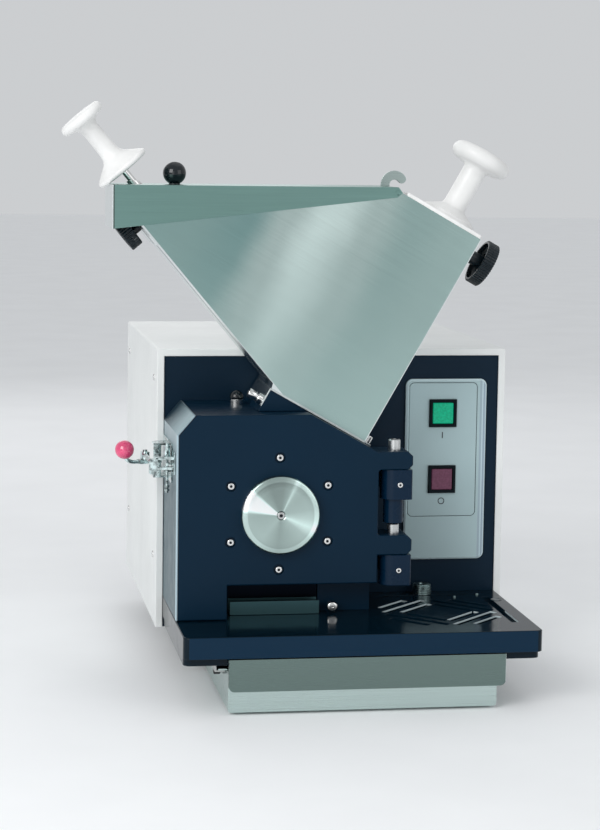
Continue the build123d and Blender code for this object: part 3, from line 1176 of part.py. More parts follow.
# Latch lever: a boss on the pin, an arm with the draw pin and a neck that bends up into the ball
ball_x, ball_y, ball_z = LATCH_BALL
arm_length = hypot(ball_x - pivot_x, ball_y - pivot_y)
arm_cos = (ball_x - pivot_x) / arm_length
arm_sin = (ball_y - pivot_y) / arm_length
arm_angle = degrees(atan2(arm_sin, arm_cos))
arm_reach = 22
draw_x = pivot_x + LATCH_ARM * arm_cos
draw_y = pivot_y + LATCH_ARM * arm_sin
with BuildPart() as latch_lever:
    with BuildSketch(Plane.XY.offset(LATCH_LEVER_TOP - LATCH_LEVER_THICKNESS)):
        with Locations(LATCH_PIVOT):
            Circle(2 * LATCH_PIN_RADIUS)
        with Locations(Location(LATCH_PIVOT, arm_angle)):
            Rectangle(arm_reach, 9, align=(Align.MIN, Align.CENTER))
        with Locations(LATCH_PIVOT):
            Circle(LATCH_PIN_RADIUS + PIN_CLEARANCE, mode=Mode.SUBTRACT)
    extrude(amount=LATCH_LEVER_THICKNESS)
    with BuildSketch(Plane.XY.offset(LATCH_LEVER_TOP)):
        with Locations((draw_x, draw_y)):
            Circle(LATCH_BAR_RADIUS)
    extrude(amount=LATCH_Z + 5 - LATCH_LEVER_TOP)
    neck_z = LATCH_LEVER_TOP - LATCH_LEVER_THICKNESS / 2
    with BuildLine() as neck_path:
        Spline((pivot_x + (arm_reach - 4) * arm_cos, pivot_y + (arm_reach - 4) * arm_sin, neck_z),
               (ball_x, ball_y, ball_z - LATCH_BALL_RADIUS + 4),
               tangents=((arm_cos, arm_sin, 0), (-0.3, 0, 1)))
    with BuildSketch(Plane(origin=neck_path.line @ 0, z_dir=neck_path.line % 0)):
        Circle(LATCH_NECK_RADIUS - 0.4)
    sweep(path=neck_path.line)

with BuildPart() as latch_ball:
    with Locations(LATCH_BALL):
        Sphere(LATCH_BALL_RADIUS)
    add(latch_lever.part, mode=Mode.SUBTRACT)

# Draw bar: an eye on the lever's pin, a round bar and a cross head at its front
bar_front = CATCH_FRONT - FIT_GAP - LATCH_ARM * (sin(radians(arm_angle - LATCH_TRAVEL)) - arm_sin)
EYE_RADIUS = 5
HEAD_THICKNESS = 5
with BuildPart() as latch_bar:
    with BuildSketch(Plane.XY.offset(LATCH_LEVER_TOP + FIT_GAP)):
        with Locations((draw_x, draw_y)):
            Circle(EYE_RADIUS)
            Circle(LATCH_BAR_RADIUS + PIN_CLEARANCE, mode=Mode.SUBTRACT)
    extrude(amount=LATCH_Z + LATCH_BAR_RADIUS - LATCH_LEVER_TOP)
    with BuildSketch(front_plane(draw_y - EYE_RADIUS + 1)):
        with Locations((draw_x, LATCH_Z)):
            Circle(LATCH_BAR_RADIUS)
    extrude(amount=draw_y - EYE_RADIUS + 2 - bar_front)
    with BuildSketch(front_plane(bar_front)):
        with Locations((draw_x, LATCH_Z)):
            RectangleRounded(9, 16, 2)
    extrude(amount=HEAD_THICKNESS)

# Catch on the door's side: two prongs that the bar drops between
with BuildPart() as latch_catch:
    with Locations((BLOCK_LEFT, CATCH_FRONT, LATCH_Z)):
        Box(CATCH_REACH, CATCH_DEPTH, CATCH_HEIGHT, align=(Align.MAX, Align.MIN, Align.CENTER))
    with Locations((BLOCK_LEFT - 12, CATCH_FRONT, LATCH_Z)):
        Box(12, CATCH_DEPTH, 2 * LATCH_BAR_RADIUS + 1.4, align=(Align.MAX, Align.MIN, Align.CENTER),
            mode=Mode.SUBTRACT)

# Dome-headed stud on top of the block
with BuildPart() as dome_stud:
    stud_x = -116
    stud_y = -40
    with BuildSketch(Plane.XY.offset(BLOCK_TOP)):
        with Locations((stud_x, stud_y)):
            Circle(5)
    extrude(amount=4)
    with BuildSketch(Plane.XY.offset(BLOCK_TOP + 4)):
        with Locations((stud_x, stud_y)):
            Circle(6.6)
    extrude(amount=8)
    fillet(dome_stud.faces().sort_by(Axis.Z)[-1].edges(), radius=5.5)

# Ribbed stud on the table under the hinge
with BuildPart() as table_stud:
    table_stud_x = 105.5
    table_stud_y = -15
    with BuildSketch(Plane(origin=(table_stud_x, table_stud_y, TABLE_TOP), x_dir=(1, 0, 0), z_dir=(0, -1, 0))):
        with BuildLine():
            ribs = [(0, 0), (7.5, 0)]
            for rib in range(4):
                ribs += [(9, 1 + rib * 2.6), (9, 2 + rib * 2.6), (7.5, 2.6 + rib * 2.6)]
            ribs += [(7.5, 11.6), (0, 11.6)]
            Polyline(*ribs, close=True)
        make_face()
    revolve(axis=Axis((table_stud_x, table_stud_y, TABLE_TOP), (0, 0, 1)))

# Fixing screws in the two sides of the housing shell
with BuildPart() as housing_screws:
    for side in (-1, 1):
        side_x = side * HALF_WIDTH
        for screw_y, screw_height in ((32, 127), (338, 127), (32, 330), (338, 330)):
            with BuildSketch(Plane(origin=(side_x, screw_y, screw_height), x_dir=(0, 1, 0), z_dir=(side, 0, 0))):
                Circle(4)
            extrude(amount=1.2)

pieces = {
    "housing_shell": housing_shell, "base_pan": base_pan, "front_panel": front_panel,
    "rear_panel": rear_panel, "power_inlet": power_inlet, "feet": feet, "table_plate": table_plate,
    "chamber_block": chamber_block, "chamber_door": chamber_door, "cover_disc": cover_disc,
    "disc_screw": disc_screw, "door_screws": door_screws, "hinge_bracket_upper": hinge_bracket_upper,
    "hinge_bracket_lower": hinge_bracket_lower, "hinge_screws": hinge_screws, "hinge_pins": hinge_pins,
    "rotor": rotor, "rotor_bolt": rotor_bolt, "spindle": spindle, "bearing_housing": bearing_housing,
    "spindle_bearings": spindle_bearings, "spindle_pulley": spindle_pulley, "motor_pulley": motor_pulley,
    "drive_belt": drive_belt, "motor": motor, "motor_shaft": motor_shaft, "motor_bracket": motor_bracket,
    "fixed_knives": fixed_knives, "sieve_cassette": sieve_cassette, "cassette_screw": cassette_screw,
    "hopper": hopper, "hopper_clamp_screw": hopper_clamp_screw, "hopper_flange_screw": hopper_flange_screw,
    "lid": lid, "rod_guide": rod_guide, "lid_knob": lid_knob, "lid_hook": lid_hook, "lid_rivets": lid_rivets,
    "left_plunger_handle": left_plunger_handle, "left_plunger_rod": left_plunger_rod,
    "channel_cover": channel_cover, "right_plunger": right_plunger, "right_knob": right_knob,
    "left_knob": left_knob, "control_bezel": control_bezel, "start_frame": start_frame,
    "stop_frame": stop_frame, "start_button": start_button, "stop_button": stop_button, "drawer": drawer,
    "drawer_rails": drawer_rails, "drawer_glides": drawer_glides, "latch_bracket": latch_bracket,
    "latch_lever": latch_lever, "latch_ball": latch_ball, "latch_bar": latch_bar, "latch_catch": latch_catch,
    "dome_stud": dome_stud, "table_stud": table_stud, "housing_screws": housing_screws,
}

# The origin goes to the middle of the machine's footprint, on the bench
bounds = Compound([piece.part for piece in pieces.values()]).bounding_box()
shift = Vector(-bounds.center().X, -bounds.center().Y, -bounds.min.Z)
os.makedirs("parts", exist_ok=True)
for label, piece in pieces.items():
    piece.part.label = label
    piece.part.position += shift
    export_step(piece.part, f"parts/{label}.step")
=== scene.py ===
"""Benchtop cutting mill: the looks over the frame.

Places are in millimetres from the middle of the housing's front at bench level: X to the right,
Y back into the housing, Z up. spot() turns them into the row's metres. Every finished piece
keeps its object at the origin, with its place in its mesh.
"""

import json
from math import atan2, cos, pi, radians, sin

import bpy
from mathutils import Matrix, Vector

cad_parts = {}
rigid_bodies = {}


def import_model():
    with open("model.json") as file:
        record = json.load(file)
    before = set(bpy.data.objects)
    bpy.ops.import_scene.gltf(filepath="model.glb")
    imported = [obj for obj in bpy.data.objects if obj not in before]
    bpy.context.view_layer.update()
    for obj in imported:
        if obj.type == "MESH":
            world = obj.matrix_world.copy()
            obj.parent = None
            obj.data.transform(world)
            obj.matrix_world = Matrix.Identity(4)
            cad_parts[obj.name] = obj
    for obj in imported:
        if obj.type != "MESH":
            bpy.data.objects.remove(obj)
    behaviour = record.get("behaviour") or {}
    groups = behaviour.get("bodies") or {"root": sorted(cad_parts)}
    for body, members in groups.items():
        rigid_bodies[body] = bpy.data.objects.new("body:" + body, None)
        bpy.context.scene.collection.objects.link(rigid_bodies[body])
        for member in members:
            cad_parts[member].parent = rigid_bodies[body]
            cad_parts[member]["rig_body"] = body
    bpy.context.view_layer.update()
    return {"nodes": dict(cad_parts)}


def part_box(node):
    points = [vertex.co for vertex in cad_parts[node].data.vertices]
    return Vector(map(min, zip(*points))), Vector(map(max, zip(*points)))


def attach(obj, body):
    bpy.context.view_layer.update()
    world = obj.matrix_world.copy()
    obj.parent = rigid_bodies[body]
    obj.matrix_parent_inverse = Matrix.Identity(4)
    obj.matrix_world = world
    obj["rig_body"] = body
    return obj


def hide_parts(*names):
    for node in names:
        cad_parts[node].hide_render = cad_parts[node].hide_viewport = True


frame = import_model()

MM = 0.001
HOUSE_LOW, HOUSE_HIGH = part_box("housing_shell")
HOUSE_MIDDLE_X = (HOUSE_LOW.x + HOUSE_HIGH.x) / 2
HOUSE_FRONT_Y = HOUSE_LOW.y

# The photograph's camera, in the housing's millimetres
CAMERA_PLACE = (-442.26, -2332.64, 593.44)
CAMERA_YAW = -0.1476
CAMERA_PITCH = 0.1018
CAMERA_ROLL = 0.0121
FOCAL_PIXELS = 2110.26
IMAGE_WIDTH = 600
IMAGE_HEIGHT = 830
OPTIC_CENTRE = (250, 360)
SENSOR = 36

# Tilts of the hopper's channel and of its slanting left wall
CHANNEL_TILT = radians(29.5)
CHUTE_ANGLE = radians(50)
DISC_CENTRE = (-81, 200.3)
BLOCK_LEFT = -191.5
BLOCK_TOP = 307
CORNER_RUN = 17.5
CORNER_DROP = 20.5
TABLE_TOP = 85
GRILLE_CENTRE = (102, -110)
GRILLE_REACH = 75
HANDLE_PLATE_Y = -204
CASSETTE_LIP_TOP = 100
HOPPER_FOOT = (16, 272)
CHUTE_FOOT = (-85.4, 337.8)

# Directions of the tilted pieces
CHANNEL_UP = Vector((sin(CHANNEL_TILT), 0, cos(CHANNEL_TILT)))
SLOPE_DOWN = Vector((cos(CHANNEL_TILT), 0, -sin(CHANNEL_TILT)))
CHUTE_UP = Vector((-cos(CHUTE_ANGLE), 0, sin(CHUTE_ANGLE)))
CHUTE_INWARD = Vector((sin(CHUTE_ANGLE), 0, cos(CHUTE_ANGLE)))
FORWARD = Vector((0, -1, 0))
UP = Vector((0, 0, 1))
NECK_DIRECTION = Vector((-0.3, 0, 1))
HOPPER_MIDDLE_Y = -54
LEFT = Vector((-1, 0, 0))


def spot(x, y, z):
    """A place in the housing's millimetres as the row's metres."""
    return Vector((HOUSE_MIDDLE_X + x * MM, HOUSE_FRONT_Y + y * MM, z * MM))


def box_middle(node):
    low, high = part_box(node)
    return (low + high) / 2


# Camera, floor, lamps and world


def photo_camera():
    """The camera at the photograph's angle, with the shift that its framing needs."""
    turn = Matrix(((cos(CAMERA_YAW), sin(CAMERA_YAW), 0), (-sin(CAMERA_YAW), cos(CAMERA_YAW), 0), (0, 0, 1)))
    stand = Matrix(((1, 0, 0), (0, 0, -1), (0, 1, 0)))
    nod = Matrix(((1, 0, 0), (0, cos(CAMERA_PITCH), -sin(CAMERA_PITCH)), (0, sin(CAMERA_PITCH), cos(CAMERA_PITCH))))
    lean = Matrix(((cos(CAMERA_ROLL), -sin(CAMERA_ROLL), 0), (sin(CAMERA_ROLL), cos(CAMERA_ROLL), 0), (0, 0, 1)))
    axes = lean @ nod @ stand @ turn
    right, down, forward = axes[0], axes[1], axes[2]
    view = Matrix((right, -down, -forward)).transposed().to_4x4()
    view.translation = spot(*CAMERA_PLACE)
    data = bpy.data.cameras.new("photo_camera")
    data.sensor_width = SENSOR
    data.lens = FOCAL_PIXELS * SENSOR / IMAGE_HEIGHT
    data.shift_x = (IMAGE_WIDTH / 2 - OPTIC_CENTRE[0]) / IMAGE_HEIGHT
    data.shift_y = -(IMAGE_HEIGHT / 2 - OPTIC_CENTRE[1]) / IMAGE_HEIGHT
    data.clip_end = 20
    camera = bpy.data.objects.new("photo_camera", data)
    camera.matrix_world = view
    bpy.context.scene.collection.objects.link(camera)
    bpy.context.scene.camera = camera


def soft_lamp(name, place, target, size, power):
    """A large soft lamp that looks at a place."""
    data = bpy.data.lights.new(name, "AREA")
    data.shape = "RECTANGLE"
    data.size, data.size_y = size
    data.energy = power
    lamp = bpy.data.objects.new(name, data)
    lamp.location = spot(*place)
    aim = spot(*target) - lamp.location
    lamp.rotation_euler = aim.to_track_quat("-Z", "Y").to_euler()
    bpy.context.scene.collection.objects.link(lamp)


def studio():
    """Pale floor, soft lamps and a pale world."""
    bpy.ops.mesh.primitive_plane_add(size=30, location=(0, 0, 0))
    floor = bpy.context.object
    floor.name = "floor"
    floor.data.materials.append(floor_finish())
    soft_lamp("key_lamp", (-1600, -1600, 1350), (0, 0, 300), (1.3, 1.3), 25)
    soft_lamp("side_lamp", (-900, -1900, 500), (0, -50, 300), (0.9, 1.5), 3.5)
    soft_lamp("fill_lamp", (1600, -1900, 1000), (0, 0, 300), (1.6, 1.6), 8)
    soft_lamp("top_lamp", (200, 300, 2200), (0, 0, 300), (1.6, 1.6), 2)
    soft_lamp("back_lamp", (-300, 2300, 1500), (0, 0, 300), (1.6, 1.2), 6)
    world = bpy.data.worlds.new("studio_world")
    bpy.context.scene.world = world
    world.use_nodes = True
    nodes, links = world.node_tree.nodes, world.node_tree.links
    lighting = nodes["Background"]
    lighting.inputs["Color"].default_value = (0.9, 0.92, 0.94, 1)
    lighting.inputs["Strength"].default_value = 0.68
    backdrop = nodes.new("ShaderNodeBackground")
    backdrop.inputs["Color"].default_value = (0.6, 0.615, 0.63, 1)
    backdrop.inputs["Strength"].default_value = 1
    rays = nodes.new("ShaderNodeLightPath")
    mix = nodes.new("ShaderNodeMixShader")
    links.new(rays.outputs["Is Camera Ray"], mix.inputs[0])
    links.new(lighting.outputs[0], mix.inputs[1])
    links.new(backdrop.outputs[0], mix.inputs[2])
    links.new(mix.outputs[0], nodes["World Output"].inputs["Surface"])
    bpy.context.scene.view_settings.view_transform = "Standard"


# Finishes


class Finish:
    """A material being drawn: its nodes, links and shader, with short calls for what repeats."""

    def __init__(self, name, roughness, metallic=0.0):
        self.material = bpy.data.materials.new(name)
        self.material.use_nodes = True
        self.nodes = self.material.node_tree.nodes
        self.links = self.material.node_tree.links
        self.shader = self.nodes["Principled BSDF"]
        self.shader.inputs["Roughness"].default_value = roughness
        self.shader.inputs["Metallic"].default_value = metallic
        self.place = self.nodes.new("ShaderNodeTexCoord").outputs["Object"]

    def mapped(self, scale=(1, 1, 1), turn=(0, 0, 0), shift=(0, 0, 0)):
        """Object coordinates, shifted, turned and then stretched."""
        first = self.nodes.new("ShaderNodeMapping")
        first.vector_type = "TEXTURE"
        first.inputs["Location"].default_value = shift
        first.inputs["Rotation"].default_value = turn
        self.links.new(self.place, first.inputs["Vector"])
        second = self.nodes.new("ShaderNodeMapping")
        second.inputs["Scale"].default_value = scale
        self.links.new(first.outputs[0], second.inputs["Vector"])
        return second.outputs[0]

    def noise(self, vector, scale, detail=3.0, roughness=0.5):
        node = self.nodes.new("ShaderNodeTexNoise")
        node.inputs["Scale"].default_value = scale
        node.inputs["Detail"].default_value = detail
        node.inputs["Roughness"].default_value = roughness
        self.links.new(vector, node.inputs["Vector"])
        return node.outputs["Fac"]

    def ramp(self, value, stops, passage="LINEAR"):
        """A colour ramp through (position, colour) stops."""
        node = self.nodes.new("ShaderNodeValToRGB")
        ramp = node.color_ramp
        ramp.interpolation = passage
        while len(ramp.elements) < len(stops):
            ramp.elements.new(0.5)
        for element, (position, colour) in zip(ramp.elements, stops):
            element.position = position
            element.color = (*colour, 1)
        self.links.new(value, node.inputs["Fac"])
        return node.outputs["Color"]

    def span(self, value, low, high, from_low=0.0, from_high=1.0):
        """A value carried from one range to another."""
        node = self.nodes.new("ShaderNodeMapRange")
        node.inputs["From Min"].default_value = from_low
        node.inputs["From Max"].default_value = from_high
        node.inputs["To Min"].default_value = low
        node.inputs["To Max"].default_value = high
        self.links.new(value, node.inputs["Value"])
        return node.outputs[0]

    def maths(self, operation, first, second=None):
        node = self.nodes.new("ShaderNodeMath")
        node.operation = operation
        for socket, value in zip(node.inputs, (first, second)):
            if value is None:
                continue
            if isinstance(value, (int, float)):
                socket.default_value = value
            else:
                self.links.new(value, socket)
        return node.outputs[0]

    def axis(self, index, vector=None):
        """One object coordinate, in metres."""
        node = self.nodes.new("ShaderNodeSeparateXYZ")
        self.links.new(vector or self.place, node.inputs[0])
        return node.outputs[index]

    def blend(self, mask, outside, inside, how="MIX"):
        """One colour outside a mask and another inside it."""
        node = self.nodes.new("ShaderNodeMix")
        node.data_type = "RGBA"
        node.blend_type = how
        for socket, value in ((node.inputs[0], mask), (node.inputs[6], outside), (node.inputs[7], inside)):
            if isinstance(value, tuple):
                socket.default_value = (*value, 1)
            elif isinstance(value, (int, float)):
                socket.default_value = value
            else:
                self.links.new(value, socket)
        return node.outputs[2]

    def offset(self, index, middle):
        """One object coordinate, counted from a value in metres."""
        return self.maths("SUBTRACT", self.axis(index), middle)

    def inside(self, middle, reaches):
        """A mask of the box round a place, with its half sizes in mm."""
        mask = 1.0
        for index, reach in enumerate(reaches):
            within = self.maths("LESS_THAN", self.maths("ABSOLUTE", self.offset(index, middle[index])), reach * MM)
            mask = self.maths("MULTIPLY", mask, within)
        return mask

    def past(self, base, zones):
        """Other colours where all planes of a zone are passed: (place, normal, depth before the plane in mm)."""
        for planes, colour in zones:
            mask = 1.0
            for place, normal, depth in planes:
                node = self.nodes.new("ShaderNodeVectorMath")
                node.operation = "DOT_PRODUCT"
                self.links.new(self.place, node.inputs[0])
                node.inputs[1].default_value = normal
                limit = place.dot(normal) - depth * MM
                mask = self.maths("MULTIPLY", mask, self.maths("GREATER_THAN", node.outputs["Value"], limit))
            if isinstance(colour, dict):
                colour = self.fade(**colour)
            base = self.blend(mask, base, colour)
        return base

    def fade(self, index, low, high, first, last):
        """A colour that changes along one axis, between two values in metres."""
        return self.ramp(self.span(self.axis(index), 0, 1, low, high), [(0.0, first), (1.0, last)])

    def colour(self, socket):
        self.links.new(socket, self.shader.inputs["Base Color"])

    def rough(self, socket):
        self.links.new(socket, self.shader.inputs["Roughness"])

    def bump(self, height, strength, distance):
        node = self.nodes.new("ShaderNodeBump")
        node.inputs["Strength"].default_value = strength
        node.inputs["Distance"].default_value = distance
        self.links.new(height, node.inputs["Height"])
        self.links.new(node.outputs["Normal"], self.shader.inputs["Normal"])

    def set(self, socket, value):
        self.shader.inputs[socket].default_value = value


def near(colour, factor):
    """The same colour, lighter or darker."""
    return tuple(min(1.0, part * factor) for part in colour)


def floor_finish():
    finish = Finish("floor_paper", 0.9)
    grain = finish.noise(finish.place, 6, 4)
    finish.colour(finish.ramp(grain, [(0.3, (0.91, 0.92, 0.93)), (0.7, (0.94, 0.95, 0.96))]))
    return finish.material


def enamel(name, colour, roughness, peel=0.25, grain=420, shine=0.5, zones=(), groove=None):
    """Sprayed enamel: a fine orange peel and a slight cloudiness, with zones of painted reflections, highlights and
    shade where asked, and a groove painted dark as painted shade where asked.
    """
    finish = Finish(name, roughness)
    cloud = finish.noise(finish.place, 7, 4)
    base = finish.past(finish.ramp(cloud, [(0.3, near(colour, 0.93)), (0.7, near(colour, 1.05))]), zones)
    if groove:
        # Painted shade: the groove is painted at a quarter of the enamel's colour.
        base = finish.blend(finish.inside(*groove), base, near(colour, 0.25))
    finish.colour(base)
    finish.rough(finish.span(finish.noise(finish.place, 45, 3), roughness * 0.85, roughness * 1.15, 0.3, 0.7))
    finish.bump(finish.noise(finish.place, grain, 2), peel, 0.0002)
    finish.set("Specular IOR Level", shine)
    return finish.material


def table_gloss():
    """Glossy black table with painted shading on its front face and painted highlights on its groove walls in two
    opposite quarters of the grille.
    """
    finish = Finish("gloss_black", 0.13)
    cloud = finish.noise(finish.place, 7, 4)
    base = finish.ramp(cloud, [(0.3, (0.001, 0.008, 0.015)), (0.7, (0.002, 0.011, 0.02))])
    table_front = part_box("table_plate")[0]
    # Painted shading: the front face is painted lighter and bluer than the top, standing in for how light falls on
    # it.
    base = finish.past(base, ((((table_front, FORWARD, 0.3),), (0.001, 0.019, 0.045)),))
    # Painted highlight: the groove walls near the top, in two opposite quarters of the grille, are painted light as
    # glints.
    middle = spot(*GRILLE_CENTRE, TABLE_TOP - 1)
    two_sides = finish.maths("MULTIPLY", finish.offset(0, middle.x), finish.offset(1, middle.y))
    painted_groove_glint = finish.maths("MULTIPLY", finish.maths("LESS_THAN", two_sides, 0),
                       finish.inside(middle, (GRILLE_REACH, GRILLE_REACH, 0.9)))
    finish.colour(finish.blend(painted_groove_glint, base, (0.5, 0.58, 0.6)))
    finish.rough(finish.span(finish.noise(finish.place, 45, 3), 0.1, 0.17, 0.3, 0.7))
    finish.bump(finish.noise(finish.place, 160, 2), 0.04, 0.0002)
    finish.set("Specular IOR Level", 0.16)
    return finish.material


def moulded(name, colour, roughness, grain=900, peel=0.2, shine=0.5):
    """Moulded plastic with a fine grain and a faint change of tone."""
    finish = Finish(name, roughness)
    cloud = finish.noise(finish.place, 20, 3)
    finish.colour(finish.ramp(cloud, [(0.3, near(colour, 0.9)), (0.7, near(colour, 1.08))]))
    finish.rough(finish.span(finish.noise(finish.place, 60, 2), roughness * 0.88, roughness * 1.12, 0.3, 0.7))
    finish.bump(finish.noise(finish.place, grain, 2), peel, 0.00015)
    finish.set("Specular IOR Level", shine)
    return finish.material


def brushed(name, colour, roughness, turn=(0, 0, 0), along=9, across=1700, strength=0.12, painted_sheen=None,
            zones=()):
    """Brushed sheet: long fine scratches along the turned X axis, with painted reflection bands across them where
    asked.
    """
    finish = Finish(name, roughness, 1.0)
    fine = finish.noise(finish.mapped((along, across, across), turn), 1, 2, 0.6)
    broad = finish.noise(finish.mapped((along, across / 3, across / 3), turn), 1, 3, 0.6)
    cloud = finish.noise(finish.place, 9, 3)
    streaks = finish.maths("ADD", finish.maths("MULTIPLY", fine, 0.7), finish.maths("MULTIPLY", broad, 0.3))
    base = finish.ramp(streaks, [(0.3, near(colour, 0.94)), (0.7, near(colour, 1.06))])
    if painted_sheen:
        # Painted reflection: bands of light and dark across the brushing, placed along the sheet and fading to one
        # flat colour towards the bottom.
        low, high, stops = painted_sheen
        drift = finish.maths("MULTIPLY", finish.maths("SUBTRACT", cloud, 0.5), 0.06)
        along_sheet = finish.maths("ADD", finish.axis(0, finish.mapped(turn=turn)), drift)
        level = finish.span(along_sheet, 0, 1, low, high)
        calm = finish.span(finish.axis(2), 0.75, 0, 0.33, 0.5)
        bands = finish.blend(calm, finish.ramp(level, stops, "EASE"), (0.54, 0.61, 0.61))
        base = finish.blend(1.0, base, bands, "MULTIPLY")
    finish.colour(finish.past(base, zones))
    mixed = finish.maths("ADD", finish.maths("MULTIPLY", streaks, 0.7), finish.maths("MULTIPLY", cloud, 0.3))
    finish.rough(finish.span(mixed, roughness * 0.88, roughness * 1.12, 0.3, 0.7))
    finish.bump(fine, strength, 0.00003)
    return finish.material


def turned_steel(name, centre, rim, colour=(0.64, 0.8, 0.76)):
    """Lathe-turned steel: fine rings about a front-to-back axis, with a painted reflection fanning out from its
    middle and a painted highlight round its rim.
    """
    finish = Finish(name, 0.24, 1.0)
    split = finish.nodes.new("ShaderNodeSeparateXYZ")
    finish.links.new(finish.mapped(shift=tuple(centre)), split.inputs[0])
    flat = finish.nodes.new("ShaderNodeCombineXYZ")
    finish.links.new(split.outputs[0], flat.inputs[0])
    finish.links.new(split.outputs[2], flat.inputs[1])
    length = finish.nodes.new("ShaderNodeVectorMath")
    length.operation = "LENGTH"
    finish.links.new(flat.outputs[0], length.inputs[0])
    ring = finish.nodes.new("ShaderNodeCombineXYZ")
    finish.links.new(length.outputs["Value"], ring.inputs[0])
    fine = finish.noise(ring.outputs[0], 2600, 2, 0.6)
    broad = finish.noise(ring.outputs[0], 300, 3, 0.6)
    rings = finish.ramp(broad, [(0.3, near(colour, 0.95)), (0.7, near(colour, 1.05))])
    # Painted reflection: a brightness for each angle round the axis, giving bright and dark sectors that fan out from
    # the middle.
    painted_fan = ((-180, 0.6), (-165, 0.62), (-130, 0.68), (-95, 0.5), (-62, 0.62), (-40, 0.72), (-23, 1.2), (-8, 0.88),
           (12, 0.7), (45, 0.66), (57, 0.72), (64, 1.05), (70, 0.62), (86, 0.46), (110, 0.44), (136, 0.6),
           (142, 1.5), (169, 1.55), (176, 0.62), (180, 0.6))
    angle = finish.span(finish.maths("ARCTAN2", split.outputs[2], split.outputs[0]), 0, 1, -pi, pi)
    light = finish.ramp(angle, [((degrees + 180) / 360, (level / 1.55,) * 3) for degrees, level in painted_fan])
    bright = finish.blend(1.0, rings, (1.55, 1.55, 1.55), "MULTIPLY")
    fanned = finish.blend(1.0, bright, light, "MULTIPLY")
    # Painted highlight: a lighter ring past the rim's radius.
    painted_rim_highlight = finish.maths("GREATER_THAN", length.outputs["Value"], rim * MM)
    finish.colour(finish.blend(1.0, fanned, finish.span(painted_rim_highlight, 1, 1.3), "MULTIPLY"))
    finish.rough(finish.span(broad, 0.2, 0.28, 0.3, 0.7))
    finish.bump(fine, 0.5, 0.00006)
    return finish.material


def bright_metal(name, colour, roughness, scratch=0.12, contrast=0.1):
    """Plated or ground metal with light handling marks; at a high contrast the marks become a painted reflection of
    dark and bright blotches.
    """
    finish = Finish(name, roughness, 1.0)
    marks = finish.noise(finish.place, 160, 4, 0.65)
    finish.colour(finish.ramp(marks, [(0.36, near(colour, 1 - contrast)), (0.62, near(colour, 1 + contrast))]))
    finish.rough(finish.span(marks, roughness * 0.6, roughness * 1.5, 0.3, 0.7))
    finish.bump(finish.noise(finish.place, 1400, 2), scratch, 0.00005)
    return finish.material


def cast_metal(name, colour, roughness):
    """Cast or painted-over rough metal."""
    finish = Finish(name, roughness, 0.3)
    pits = finish.noise(finish.place, 260, 5, 0.7)
    finish.colour(finish.ramp(pits, [(0.3, near(colour, 0.75)), (0.7, near(colour, 1.2))]))
    finish.rough(finish.span(pits, roughness * 0.85, min(1, roughness * 1.15), 0.3, 0.7))
    finish.bump(pits, 0.5, 0.0004)
    return finish.material


def lens_plastic(name, colour, painted_glow, shine=0.3):
    """A translucent push-button cap, its ribbed diffuser drawn as stripes in its colour, with a painted glow: the cap
    shines faintly in its own colour though no lamp lights it.
    """
    finish = Finish(name, 0.25)
    ribs = finish.noise(finish.mapped((420, 60, 420)), 1, 3, 0.5)
    finish.colour(finish.ramp(ribs, [(0.3, near(colour, 0.75)), (0.7, near(colour, 1.2))]))
    finish.bump(finish.noise(finish.place, 700, 2), 0.15, 0.0001)
    finish.set("Specular IOR Level", shine)
    # Painted glow: the cap's own colour as emission, though there is no lamp in it.
    finish.set("Emission Color", (*colour, 1))
    finish.set("Emission Strength", painted_glow)
    return finish.material


def glossy_ball(name, colour):
    """Polished phenolic ball under a clear coat."""
    finish = Finish(name, 0.16)
    cloud = finish.noise(finish.place, 90, 3)
    finish.colour(finish.ramp(cloud, [(0.3, near(colour, 0.8)), (0.7, near(colour, 1.15))]))
    finish.bump(finish.noise(finish.place, 500, 2), 0.05, 0.0001)
    finish.set("Coat Weight", 1.0)
    finish.set("Coat Roughness", 0.04)
    return finish.material


